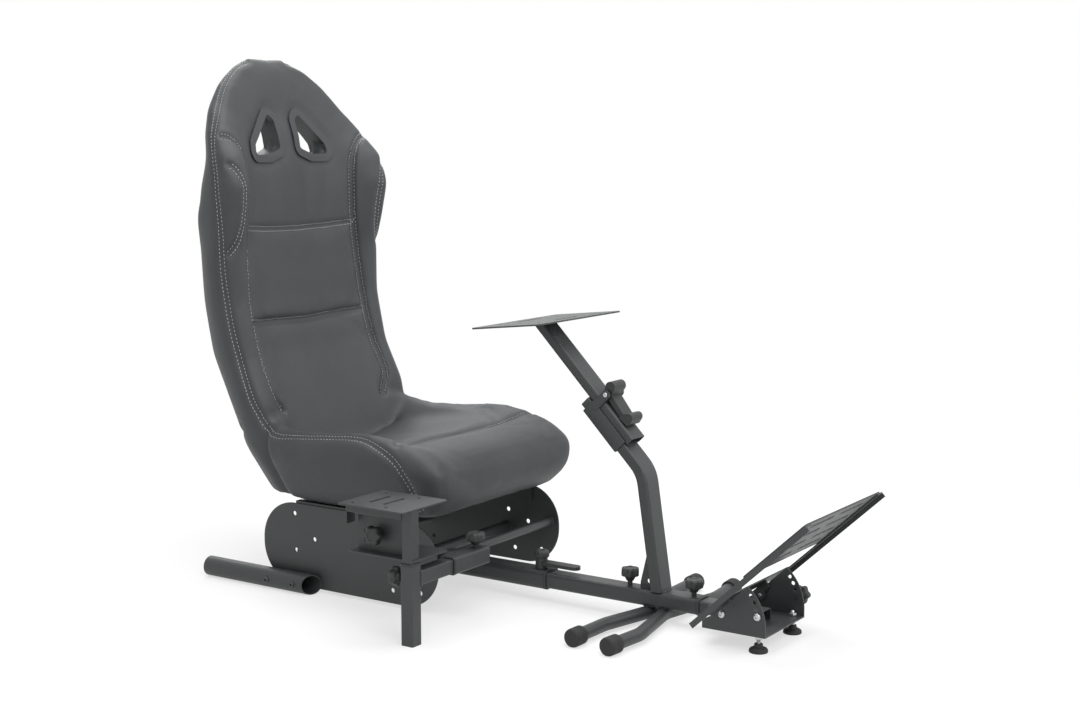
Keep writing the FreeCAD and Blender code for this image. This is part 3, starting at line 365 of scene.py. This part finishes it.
def swell(mesh, paths):
    hold = cover_hold(mesh, paths, SEAM_HOLD)
    near, moves = cloth_swelling(paths)
    normals = [v.normal.copy() for v in mesh.vertices]
    for v, normal, firm in zip(mesh.vertices, normals, hold):
        shift = normal * COVER_GROW * MM
        if near:
            found = near.find_n(v.co, SIM_NEAREST)
            weights = [1 / (distance + MM) for p, i, distance in found]
            for (p, i, distance), weight in zip(found, weights):
                shift = shift + moves[i] * (weight / sum(weights))
        v.co += shift * (1.0 - firm)


# Smooth curve through the points, in even steps
def spline(points):
    dense = []
    count = len(points)
    for i in range(count - 1):
        p0 = points[max(i - 1, 0)]
        p1 = points[i]
        p2 = points[i + 1]
        p3 = points[min(i + 2, count - 1)]
        steps = max(2, int((p2 - p1).length / (SEAM_STEP * MM)))
        for k in range(steps):
            t = k / steps
            dense.append(0.5 * (2 * p1 + (p2 - p0) * t + (2 * p0 - 5 * p1 + 4 * p2 - p3) * t * t
                                + (3 * p1 - p0 - 3 * p2 + p3) * t * t * t))
    dense.append(points[-1])
    return dense


def skin_tree(seat):
    return BVHTree.FromObject(seat, bpy.context.evaluated_depsgraph_get())


def on_skin(tree, path):
    return [tree.find_nearest(p)[0] for p in path]


def cast(tree, start, direction):
    found = tree.ray_cast(start, direction)[0]
    return found if found is not None else tree.find_nearest(start + direction * SCAN_DEPTH * MM)[0]


def seam_paths(tree):
    lines = {}
    for side in SIDES:
        for kind, line in (("inner", BACK_INNER), ("wing", BACK_WING)):
            lines[kind, side] = [cast(tree, at(SCAN_X, side * y, z), -FORWARD) for y, z in line]
        lines["rim", side] = on_skin(tree, [at(x, side * y, z) for x, y, z in RIM])
    for kind, line in (("upper", BACK_UPPER), ("lower", BACK_LOWER)):
        lines[kind, 0] = [cast(tree, at(SCAN_X, y, z), -FORWARD) for y, z in line]
    lines["front", 0] = [cast(tree, at(x, y, SCAN_Z), DOWN) for x, y in CUSHION_FRONT]
    return {key: on_skin(tree, spline(points)) for key, points in lines.items()}


def pull_seams(seat, paths):
    points = [(p, SEAM_DEPTH[kind]) for (kind, side), path in paths.items() for p in path]
    near = nearby([p for p, depth in points])
    bm = bmesh.new()
    bm.from_mesh(seat.data)
    bm.normal_update()
    moves = []
    for v in bm.verts:
        found, i, distance = near.find(v.co)
        reach = distance / (SEAM_WIDTH * MM)
        if reach < SEAM_REACH:
            moves.append((v, v.normal * (-points[i][1] * MM * math.exp(-reach * reach))))
    for v, move in moves:
        v.co += move
    bm.to_mesh(seat.data)
    bm.free()


# One row of stitches beside a seam, each a small flattened bead lying along it
def stitch_row(tree, path, offset):
    bm = bmesh.new()
    line = []
    for i, p in enumerate(path):
        ahead = path[min(i + 1, len(path) - 1)]
        behind = path[max(i - 1, 0)]
        normal = tree.find_nearest(p)[1]
        across = normal.cross(ahead - behind)
        if across.length > 0:
            line.append(tree.find_nearest(p + across.normalized() * offset * MM)[:2])
    travelled = 0.0
    size = Matrix.Diagonal((STITCH_LENGTH / STITCH_THICK, 1, STITCH_FLAT, 1))
    for (last, before), (spot, normal) in zip(line, line[1:]):
        step = spot - last
        travelled += step.length
        if travelled < STITCH_PITCH * MM or step.length < 1e-6:
            continue
        travelled = 0.0
        along = step.normalized()
        across = normal.cross(along).normalized()
        turn = Matrix((along, across, along.cross(across))).transposed().to_4x4()
        place = Matrix.Translation(spot + normal * STITCH_THICK * STITCH_PROUD * MM)
        bmesh.ops.create_uvsphere(bm, u_segments=6, v_segments=4, radius=STITCH_THICK * MM / 2,
                                  matrix=place @ turn @ size)
    return bm


def make_seat():
    skin, bm = seat_skin("seat_skin", COVER_VOXEL, COVER_SMOOTHING)
    bpy.data.objects.remove(skin)
    seat = piece("seat_cover", bm, LEATHER, "base")
    paths = seam_paths(skin_tree(seat))
    swell(seat.data, paths)
    divide = seat.modifiers.new("divide", "SUBSURF")
    divide.levels = 1
    divide.render_levels = 1
    bpy.context.view_layer.objects.active = seat
    bpy.ops.object.modifier_apply(modifier="divide")
    tree = skin_tree(seat)
    paths = {key: on_skin(tree, path) for key, path in paths.items()}
    pull_seams(seat, paths)
    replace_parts(seat, "seat_back", "seat_cushion")
    tree = skin_tree(seat)
    rows = []
    for (kind, side), path in paths.items():
        offsets = (-STITCH_OFFSET, STITCH_OFFSET) if kind in DOUBLE_STITCHED else (STITCH_OFFSET,)
        rows += [stitch_row(tree, path, offset) for offset in offsets]
    piece("seat_stitching", joined(rows), THREAD, "base")


make_seat()

# Turned and moulded pieces are stacks of rings: height, radius and outline of each ring, in millimetres
KNOB_LOBES = 6
LOBE_DEPTH = 0.1
KNOB_RIBS = 14
RIB_DEPTH = 0.035


def even(angle):
    return 1.0


def hexagon(angle):
    return math.cos(math.pi / 6) / math.cos(angle % (math.pi / 3) - math.pi / 6)


def lobed(angle):
    return 1 - LOBE_DEPTH + LOBE_DEPTH * math.cos(KNOB_LOBES * angle)


def ribbed(angle):
    return 1 - RIB_DEPTH + RIB_DEPTH * math.cos(KNOB_RIBS * angle)


# Rounded rectangle
def boxed(width, height, corner):
    def outline(angle):
        c = abs(math.cos(angle))
        s = abs(math.sin(angle))
        x = width / 2 - corner
        y = height / 2 - corner
        if s * width / 2 <= y * c:
            return width / 2 / c
        if c * height / 2 <= x * s:
            return height / 2 / s
        b = c * x + s * y
        return b + math.sqrt(b * b - (x * x + y * y - corner * corner))
    return outline


def shaped(profile, outline, lift=0):
    return [(height + lift, radius, outline) for height, radius in profile]


def turned(profile, lift=0):
    return shaped(profile, even, lift)


def stand(place, axis):
    turn = UP.rotation_difference(Vector(axis)).to_matrix().to_4x4()
    return Matrix.Translation(place) @ turn @ Matrix.Scale(MM, 4)


def stacked(rings, place, segments, hollow=False):
    bm = bmesh.new()
    bmesh.ops.create_circle(bm, cap_ends=not hollow, segments=segments, radius=1.0)
    ring = list(bm.verts)
    edges = list(bm.edges)
    first = edges
    for number, (height, radius, outline) in enumerate(rings):
        if number:
            made = bmesh.ops.extrude_edge_only(bm, edges=edges)["geom"]
            ring = [g for g in made if isinstance(g, bmesh.types.BMVert)]
            inside = set(ring)
            edges = [g for g in made if isinstance(g, bmesh.types.BMEdge) and inside.issuperset(g.verts)]
        for v in ring:
            angle = math.atan2(v.co.y, v.co.x)
            reach = radius * outline(angle)
            v.co = (reach * math.cos(angle), reach * math.sin(angle), height)
    if hollow:
        bmesh.ops.bridge_loops(bm, edges=first + edges)
    else:
        bmesh.ops.holes_fill(bm, edges=edges, sides=segments)
    bmesh.ops.recalc_face_normals(bm, faces=bm.faces)
    bmesh.ops.transform(bm, matrix=place, verts=bm.verts)
    return bm


# Star knobs: a flared hub and six soft lobes round a dished top; one has a bare stud below its hub
KNOB_SEGMENTS = 72
KNOB_STUD_R = 4
KNOB_HUB_R = 5
KNOB_FLARE_R = 7.2
KNOB_NECK_R = 11.6
KNOB_NECK_LOW = 0.4
HUB_STRAIGHT = 0.45
HUB_FLARED = 0.5
KNOB_HEAD = [(0, 15.4), (1.6, 18.6), (4, 19.5), (12.4, 19.3), (15.4, 18), (17, 15.4)]
KNOB_DISH = [(17, 9.6), (16, 9), (16, 2)]
# Node, way it points, height of hub, length of bare stud, body
STAR_KNOBS = [
    ("tube_knob_rear", UP, 18, 0, "front_frame"),
    ("tube_knob_front", UP, 16, 0, "front_frame"),
    ("shifter_sleeve_knob", UP, 14, 0, "base"),
    ("shifter_leg_knob", -FORWARD, 12, 0, "shifter_arm"),
    ("shifter_web_knob", RIGHT, 10, 0, "shifter_column"),
    ("left_tilt_knob", -RIGHT, 10, 6, "pedal_carriage"),
]


def star_knob(node, axis, hub, stud, body):
    top = stud + hub
    rings = turned([(0, KNOB_STUD_R), (stud, KNOB_STUD_R)]) if stud else []
    rings += turned([(stud, KNOB_HUB_R), (stud + hub * HUB_STRAIGHT, KNOB_HUB_R),
                     (stud + hub * HUB_FLARED, KNOB_FLARE_R), (top - KNOB_NECK_LOW, KNOB_NECK_R)])
    rings += shaped(KNOB_HEAD, lobed, top) + turned(KNOB_DISH, top)
    star = stacked(rings, stand(end_of(node, -axis), axis), KNOB_SEGMENTS)
    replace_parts(piece(node + "_star", star, PLASTIC, body), node)


for knob_row in STAR_KNOBS:
    star_knob(*knob_row)

# Reach knob: plain collar, ribbed head, dished top
REACH_SEGMENTS = 84
REACH_COLLAR = [(0, 12.4), (0.8, 13), (23, 12.2)]
REACH_HEAD = [(23.6, 14.6), (25.5, 16), (34, 15.7), (36.4, 14.4), (38, 11.6)]
REACH_DISH = [(38, 6), (37.2, 5.4)]


def reach_knob():
    rings = turned(REACH_COLLAR) + shaped(REACH_HEAD, ribbed) + turned(REACH_DISH)
    knob = stacked(rings, stand(end_of("reach_knob", DOWN), UP), REACH_SEGMENTS)
    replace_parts(piece("reach_knob_ribbed", knob, PLASTIC, "base"), "reach_knob")


reach_knob()

# Levelling feet: a rubber pad, a threaded stud and a hexagon nut on each side of the tray's floor
FOOT_SEGMENTS = 48
STUD_SEGMENTS = 24
PAD_PROFILE = [(0, 16.4), (0.6, 17.6), (2, 18), (5, 17.7), (7.4, 16), (9, 13), (9.8, 10), (10.2, 8.6), (15.6, 8),
               (17, 6.8), (17, 4.2)]
STUD_LOW = 16.0
STUD_HIGH = 45.5
STUD_ROOT_R = 3.3
STUD_CREST_R = 3.9
STUD_TIP_R = 2.8
THREAD_PITCH = 1.5
NUT_HEIGHTS = (25, 34.2)
NUT_BORE = 4.2
NUT_FLATS = [(0, 7.2), (0.5, 7.6), (5.5, 7.6), (6, 7.2)]
NUT_FACE_R = 6.4


def level_foot(side):
    node = side + "_level_foot"
    foot = end_of(node, DOWN)
    pad = stacked(turned(PAD_PROFILE), stand(foot, UP), FOOT_SEGMENTS)
    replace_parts(piece(side + "_foot_pad", pad, RUBBER, "pedal_carriage"), node)
    winding = []
    for number in range(int((STUD_HIGH - STUD_LOW) / THREAD_PITCH)):
        root = STUD_LOW + number * THREAD_PITCH
        winding += [(root, STUD_ROOT_R), (root + THREAD_PITCH / 2, STUD_CREST_R)]
    parts = [stacked(turned(winding + [(STUD_HIGH, STUD_TIP_R)]), stand(foot, UP), STUD_SEGMENTS)]
    nut = turned([(0, NUT_FACE_R)]) + shaped(NUT_FLATS, hexagon) + turned([(NUT_FLATS[-1][0], NUT_BORE)])
    for height in NUT_HEIGHTS:
        parts.append(stacked(nut, stand(foot + UP * height * MM, UP), FOOT_SEGMENTS))
    piece(side + "_foot_stud", joined(parts), ZINC, "pedal_carriage")


for side in ("right", "left"):
    level_foot(side)

# Button-head bolts with a hexagon socket
BOLT_SEGMENTS = 36
SHANK_R = 3.9
SHANK_TIP_R = 3.4
SHANK_TIP = 0.6
HEAD_CHAMFER = 0.4
HEAD_STRAIGHT = 1.6
HEAD_HIGH = 4.7
# Height and share of the head's radius, up its dome
HEAD_DOME = [(3.2, 0.86), (4.3, 0.64), (HEAD_HIGH, 0.5)]
SOCKET_R = 2.9
SOCKET_FLOOR = 2.2
SOCKET_MIDDLE = 0.5
PIVOT_HEAD_R = 7.2
PIVOT_SHANK = 12
TILT_HEAD_R = 7.6
TILT_SHANK = 6
FRAME_HEAD_R = 6.4
FRAME_SHANK = 2
FRAME_BOLT_X = (-1052, -980)
FRAME_BOLT_SUNK = 0.4


def button_bolt(place, axis, radius, shank):
    rings = turned([(-shank, SHANK_TIP_R), (-shank + SHANK_TIP, SHANK_R), (0, SHANK_R), (0, radius - HEAD_CHAMFER),
                    (HEAD_CHAMFER, radius), (HEAD_STRAIGHT, radius)])
    rings += turned([(height, radius * share) for height, share in HEAD_DOME])
    rings += shaped([(HEAD_HIGH, SOCKET_R), (SOCKET_FLOOR, SOCKET_R), (SOCKET_FLOOR, SOCKET_MIDDLE)], hexagon)
    return stacked(rings, stand(place, axis), BOLT_SEGMENTS)


# A bolt through the tray's ear, at the place of its node
def ear_bolt(node, side, radius, shank):
    place = middle(node)
    place.y = end_of("pedal_tray", RIGHT * -side).y
    return button_bolt(place, RIGHT * -side, radius, shank)


def make_bolts():
    pivots = [ear_bolt("pivot_bolts", side, PIVOT_HEAD_R, PIVOT_SHANK) for side in SIDES]
    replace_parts(piece("pivot_bolt_heads", joined(pivots), ZINC, "pedal_carriage"), "pivot_bolts")
    tilt = ear_bolt("right_tilt_bolt", -1, TILT_HEAD_R, TILT_SHANK)
    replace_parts(piece("tilt_bolt_head", tilt, ZINC, "pedal_carriage"), "right_tilt_bolt")
    fixings = []
    for side, node in zip(SIDES, ("right_stabiliser", "left_stabiliser")):
        axis = RIGHT * -side
        for x in FRAME_BOLT_X:
            place = end_of(node, axis) - axis * FRAME_BOLT_SUNK * MM
            place.x = at(x, 0, 0).x
            fixings.append(button_bolt(place, axis, FRAME_HEAD_R, FRAME_SHANK))
    piece("stabiliser_bolts", joined(fixings), STEEL, "base")


make_bolts()

# Ribbed end caps of the front legs: two grooves and a rounded end
CAP_SEGMENTS = 48
CAP_LONG = 34
CAP_R = 18
CAP_PROFILE = [(0, 13.6), (0.4, 17), (1.6, 17.9), (9, CAP_R), (9.6, 17.2), (10.6, 17.2), (11.2, CAP_R), (16, CAP_R),
               (16.6, 17.2), (17.6, 17.2), (18.2, CAP_R), (28, CAP_R), (31, 17.2), (33, 15.2), (33.8, 12.4),
               (CAP_LONG, 8)]
# Node, tip of the leg and the bend before it, seen from above: (x, y)
LEG_PLANS = [("rear_leg_caps", (-300, 246), (-297, 129)), ("front_leg_caps", (-218, 255), (-208, 149))]


def leg_caps(node, tip, bend):
    caps = []
    for side in SIDES:
        end = at(tip[0], side * tip[1], CAP_R)
        axis = (end - at(bend[0], side * bend[1], CAP_R)).normalized()
        caps.append(stacked(turned(CAP_PROFILE), stand(end - axis * CAP_LONG * MM, axis), CAP_SEGMENTS))
    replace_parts(piece(node + "_ribbed", joined(caps), RUBBER, "front_frame"), node)


for leg_plan in LEG_PLANS:
    leg_caps(*leg_plan)

# Nylon bushings where one tube slides in another: name, outer tube and way its mouth faces,
# outer and inner rounded rectangle (height, width, corner), half length, body
BUSHING_SEGMENTS = 96
BUSHING_CHAMFER = 1.4
BUSHING_EDGE = 1
BUSHINGS = [
    ("sleeve_bushing", "rear_sleeve", FORWARD, (39, 51, 10.5), (33, 45, 8), 3.5, "base"),
    ("main_tube_bushing", "main_tube", FORWARD, (33, 45, 8), (27, 39, 5.5), 3.5, "front_frame"),
    ("shifter_sleeve_bushing", "shifter_sleeve", RIGHT, (35, 35, 5.5), (29, 29, 3.5), 2.5, "base"),
    ("shifter_leg_bushing", "shifter_leg", UP, (29, 29, 3.5), (24, 24, 2.5), 2.0, "shifter_arm"),
]


def bushing(name, tube, axis, outer, inner, half, body):
    height, width, corner = outer
    rim = boxed(height - BUSHING_CHAMFER, width - BUSHING_CHAMFER, corner)
    rings = [(-half, 1, boxed(*inner)), (-half, 1, boxed(*outer)), (half - BUSHING_EDGE, 1, boxed(*outer)),
             (half, 1, rim), (half, 1, boxed(*inner))]
    ring = stacked(rings, stand(end_of(tube, axis), axis), BUSHING_SEGMENTS, hollow=True)
    piece(name, ring, PLASTIC, body)


for bushing_row in BUSHINGS:
    bushing(*bushing_row)

# Sloping part of the wheel post: t runs up it from the bend, q out of its middle
POST_BEND = Vector((-283.6, 0, 294.3))
POST_UP = Vector((-128.8, 0, 131.7)).normalized()
POST_OUT = Vector((POST_UP.z, 0, -POST_UP.x))
# Clamp: a channel round the post, two lugs with a pin, and a cam lever lying on the stem
BRACKET_LOW = 66
BRACKET_HIGH = 172
BRACKET_LIP = 18
BRACKET_BACK = -14.6
BRACKET_FLOOR = -12.1
BRACKET_OUTSIDE = 27.2
BRACKET_INSIDE = 24.6
BRACKET_EDGE = 0.9
PIVOT_T = 161
PIVOT_Q = 48
LUG_R = 9
LUG_FOOT_Q = 14
LUG_INSIDE = 24.2
LUG_OUTSIDE = 27.8
# Each lobe of the lever: its discs (t, q, radius) and its half width
CAM_HEAD = ([(PIVOT_T, PIVOT_Q, 8.5), (PIVOT_T + 6, PIVOT_Q + 15, 11)], 21)
CAM_ARM = ([(PIVOT_T, PIVOT_Q - 1, 6), (104, 41, 5)], 17)
CAM_GRIP = ([(108, 41, 5), (97, 52, 9), (92, 44, 6)], 20)
DISC_POINTS = 20
PIN_SEGMENTS = 28
PIN_PROFILE = [(-6, 3), (0, 3), (0, 4.6), (1.4, 4.6), (1.9, 4.1), (1.9, 2.1), (0.4, 2)]


def slope(t, q, y):
    spot = POST_BEND + POST_UP * t + POST_OUT * q
    return at(spot.x, y, spot.z)


# A plate or lever with rounded ends: the hull of its discs from one side to the other
def rounded_lever(discs, y0, y1):
    bm = bmesh.new()
    turn = Matrix((POST_UP, POST_OUT, POST_UP.cross(POST_OUT))).transposed().to_4x4()
    for t, q, radius in discs:
        for y in (y0, y1):
            bmesh.ops.create_circle(bm, segments=DISC_POINTS, radius=radius * MM,
                                    matrix=Matrix.Translation(slope(t, q, y)) @ turn)
    made = bmesh.ops.convex_hull(bm, input=bm.verts)
    bmesh.ops.delete(bm, geom=list(set(made["geom_interior"] + made["geom_unused"])), context="VERTS")
    bmesh.ops.dissolve_limit(bm, angle_limit=math.radians(1), verts=bm.verts, edges=bm.edges)
    bmesh.ops.recalc_face_normals(bm, faces=bm.faces)
    return bm


def bracket_channel():
    bm = bmesh.new()
    outside = [(-BRACKET_OUTSIDE, BRACKET_LIP), (-BRACKET_OUTSIDE, BRACKET_BACK), (BRACKET_OUTSIDE, BRACKET_BACK),
               (BRACKET_OUTSIDE, BRACKET_LIP)]
    inside = [(BRACKET_INSIDE, BRACKET_LIP), (BRACKET_INSIDE, BRACKET_FLOOR), (-BRACKET_INSIDE, BRACKET_FLOOR),
              (-BRACKET_INSIDE, BRACKET_LIP)]
    face = bm.faces.new([bm.verts.new(slope(BRACKET_LOW, q, y)) for y, q in outside + inside])
    made = bmesh.ops.extrude_face_region(bm, geom=[face])["geom"]
    run = slope(BRACKET_HIGH, 0, 0) - slope(BRACKET_LOW, 0, 0)
    bmesh.ops.translate(bm, vec=run, verts=[g for g in made if isinstance(g, bmesh.types.BMVert)])
    bmesh.ops.recalc_face_normals(bm, faces=bm.faces)
    bmesh.ops.bevel(bm, geom=bm.edges, offset=BRACKET_EDGE * MM, offset_type="OFFSET", segments=2, profile=0.5,
                    affect="EDGES", material=-1)
    return bm


def make_clamp():
    lug = [(PIVOT_T, PIVOT_Q, LUG_R), (PIVOT_T, LUG_FOOT_Q, LUG_R)]
    lugs = [rounded_lever(lug, side * LUG_INSIDE, side * LUG_OUTSIDE) for side in SIDES]
    bracket = joined([bracket_channel()] + lugs)
    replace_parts(piece("clamp_bracket", bracket, STEEL, "front_frame"), "post_clamp")
    cam = joined([rounded_lever(discs, -half, half) for discs, half in (CAM_HEAD, CAM_ARM, CAM_GRIP)])
    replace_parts(piece("clamp_cam_lever", cam, PLASTIC, "front_frame"), "post_clamp_lever")
    pins = []
    for side in SIDES:
        place = stand(slope(PIVOT_T, PIVOT_Q, side * LUG_OUTSIDE), RIGHT * -side)
        pins.append(stacked(turned(PIN_PROFILE), place, PIN_SEGMENTS))
    piece("clamp_pin_ends", joined(pins), ZINC, "front_frame")


make_clamp()

# Weld beads: a row of overlapping drops along each joint
BEAD_PITCH = 2.4
BEAD_R = 2.1
BEAD_UNEVEN = (0.88, 1.1)
RING_STEPS = 24
RING_PROUD = 0.3
RING_SUNK = 0.4
# Cross tubes on the sleeve of the beam
SLEEVE_WELD_X = 9
SLEEVE_WELD_Y = 16
SLEEVE_WELD_Z = 67
# Wheel post and its gusset on the beam, and the gusset up the post
POST_X = -248
POST_WELD_X = 13
POST_WELD_Y = 17
BEAM_TOP = 63.4
GUSSET_Y = 2.6
GUSSET_FOOT_X = (-293, -262)
GUSSET_SIDE = [(-262.5, 66), (-273, 140)]
# Legs under the beam
LEG_X = (-267, -239)
LEG_WELD_X = 10
LEG_WELD_Y = 17.5
LEG_WELD_Z = 31.8
# Pedal rail on its tray
RAIL_WELD_X = (-110, -48)
RAIL_WELD_LONG = 26
RAIL_WELD_Y = 19.6
RAIL_WELD_Z = 35
ARM_SUNK = 0.3
dice = random.Random(11)


def weld(points):
    bm = bmesh.new()
    for a, b in zip(points, points[1:]):
        count = max(1, round((b - a).length / (BEAD_PITCH * MM)))
        for k in range(count):
            bmesh.ops.create_uvsphere(bm, u_segments=8, v_segments=5, radius=BEAD_R * MM * dice.uniform(*BEAD_UNEVEN),
                                      matrix=Matrix.Translation(a.lerp(b, (k + 0.5) / count)))
    return bm


# Bead round the end of a cross tube
def weld_ring(tube, side):
    low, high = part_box(tube)
    radius = (high.z - low.z) / 2 + RING_PROUD * MM
    hub = end_of(tube, RIGHT * -side) + RIGHT * side * RING_SUNK * MM
    turns = [math.tau * k / RING_STEPS for k in range(RING_STEPS + 1)]
    return weld([hub + Vector((math.cos(a), 0, math.sin(a))) * radius for a in turns])


def base_welds():
    rows = []
    for side in SIDES:
        for tube in ("rear_cross_tube", "mid_cross_tube", "front_cross_tube"):
            rows.append(weld_ring(tube, side))
        for tube in ("rear_cross_tube", "mid_cross_tube"):
            x = (middle(tube).x - FEET.x) / MM + side * SLEEVE_WELD_X
            rows.append(weld([at(x, y * SLEEVE_WELD_Y, SLEEVE_WELD_Z) for y in SIDES]))
    piece("base_welds", joined(rows), STEEL, "base")


def front_frame_welds():
    rows = []
    for side in SIDES:
        rows.append(weld([at(POST_X + side * POST_WELD_X, y * POST_WELD_Y, BEAM_TOP) for y in SIDES]))
        rows.append(weld([at(x, side * GUSSET_Y, BEAM_TOP) for x in GUSSET_FOOT_X]))
        rows.append(weld([at(x, side * GUSSET_Y, z) for x, z in GUSSET_SIDE]))
        for x in LEG_X:
            rows.append(weld([at(x + end * LEG_WELD_X, side * LEG_WELD_Y, LEG_WELD_Z) for end in SIDES]))
    piece("front_frame_welds", joined(rows), STEEL, "front_frame")


def carriage_welds():
    rows = []
    for side in SIDES:
        for x in RAIL_WELD_X:
            rows.append(weld([at(end, side * RAIL_WELD_Y, RAIL_WELD_Z) for end in (x, x + RAIL_WELD_LONG)]))
    piece("carriage_welds", joined(rows), STEEL, "pedal_carriage")


def shifter_arm_welds():
    low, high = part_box("shifter_arm_tube")
    y = low.y + ARM_SUNK * MM
    corners = [(low.x, low.z), (high.x, low.z), (high.x, high.z), (low.x, high.z), (low.x, low.z)]
    row = weld([Vector((x, y, z)) for x, z in corners])
    piece("shifter_arm_welds", row, STEEL, "shifter_arm")


base_welds()
front_frame_welds()
carriage_welds()
shifter_arm_welds()

# Camera
camera = linked("camera", bpy.data.cameras.new("camera"))
camera.data.lens = CAMERA_LENS
camera.data.sensor_width = CAMERA_SENSOR
camera.data.sensor_fit = "HORIZONTAL"
back = Vector((math.sin(CAMERA_AZIMUTH) * math.cos(CAMERA_PITCH),
               -math.cos(CAMERA_AZIMUTH) * math.cos(CAMERA_PITCH), math.sin(CAMERA_PITCH)))
right = Vector((math.cos(CAMERA_AZIMUTH), math.sin(CAMERA_AZIMUTH), 0))
turn = Matrix((right, back.cross(right), back)).transposed().to_4x4()
camera.matrix_world = Matrix.Translation(at(*CAMERA_PLACE)) @ turn
bpy.context.scene.camera = camera

# Pale floor and white surroundings
FLOOR_SIZE = 40.0
FLOOR_GLOW = 0.6
FLOOR_NEAR = 0.8
FLOOR_FAR = 2.6
WORLD_LIGHT = 0.5


# One for what the camera sees straight on, mirrored or through glass, nought for the light that falls on things
def looked_at(tree):
    way = add(tree, "ShaderNodeLightPath")
    seen = add(tree, "ShaderNodeMath", {0: way.outputs["Is Camera Ray"], 1: way.outputs["Is Glossy Ray"]},
               operation="MAXIMUM")
    return add(tree, "ShaderNodeMath", {0: seen.outputs[0], 1: way.outputs["Is Transmission Ray"]},
               operation="MAXIMUM").outputs[0]


# Pale matt floor: keeps a soft shadow near the piece and fades to white away from it
def pale_floor():
    material, tree = new_material("pale_floor")
    where = add(tree, "ShaderNodeTexCoord")
    reach = add(tree, "ShaderNodeVectorMath", {0: where.outputs["Object"], 1: Vector((0, 0, 0))}, operation="DISTANCE")
    fading = add(tree, "ShaderNodeMapRange", {"Value": reach.outputs["Value"], "From Min": FLOOR_NEAR,
                                              "From Max": FLOOR_FAR, "To Min": FLOOR_GLOW, "To Max": 1.0},
                 interpolation_type="SMOOTHSTEP")
    share = add(tree, "ShaderNodeMath", {0: looked_at(tree), 1: fading.outputs[0]}, operation="MULTIPLY")
    paint = add(tree, "ShaderNodeBsdfDiffuse", {"Color": linear("#f6f6f6")})
    glow = add(tree, "ShaderNodeEmission", {"Color": linear("#ffffff"), "Strength": 1.0})
    mix = add(tree, "ShaderNodeMixShader", {0: share.outputs[0], 1: paint.outputs[0], 2: glow.outputs[0]})
    add(tree, "ShaderNodeOutputMaterial", {"Surface": mix.outputs[0]})
    return material


bm = bmesh.new()
bmesh.ops.create_grid(bm, x_segments=1, y_segments=1, size=FLOOR_SIZE)
floor = linked("floor", mesh_of("floor", bm))
floor.data.materials.append(pale_floor())

world = bpy.data.worlds.new("studio")
bpy.context.scene.world = world
world.use_nodes = True
tree = world.node_tree
tree.nodes.clear()
sky = add(tree, "ShaderNodeBackground", {"Color": linear("#ffffff"),
                                         "Strength": between(tree, looked_at(tree), WORLD_LIGHT, 1.0)})
add(tree, "ShaderNodeOutputWorld", {"Surface": sky.outputs[0]})

# Soft boxes: place and aim in millimetres, size in metres, power in watts
SOFT_BOXES = [
    ("key_light", (1300, -1500, 2600), (-700, 0, 400), 2.2, 45),
    ("top_light", (-700, 200, 3000), (-700, 0, 300), 3.0, 60),
    ("fill_light", (1900, 1100, 1700), (-500, 0, 400), 2.0, 20),
    ("rim_light", (-2600, 1200, 2300), (-900, 0, 600), 1.8, 25),
]
for name, place, aim, size, power in SOFT_BOXES:
    lamp = bpy.data.lights.new(name, "AREA")
    lamp.shape = "DISK"
    lamp.size = size
    lamp.energy = power
    holder = linked(name, lamp)
    holder.location = at(*place)
    holder.rotation_euler = (at(*aim) - at(*place)).to_track_quat("-Z", "Y").to_euler()

bpy.context.scene.view_settings.view_transform = "Standard"

bpy.context.view_layer.update()
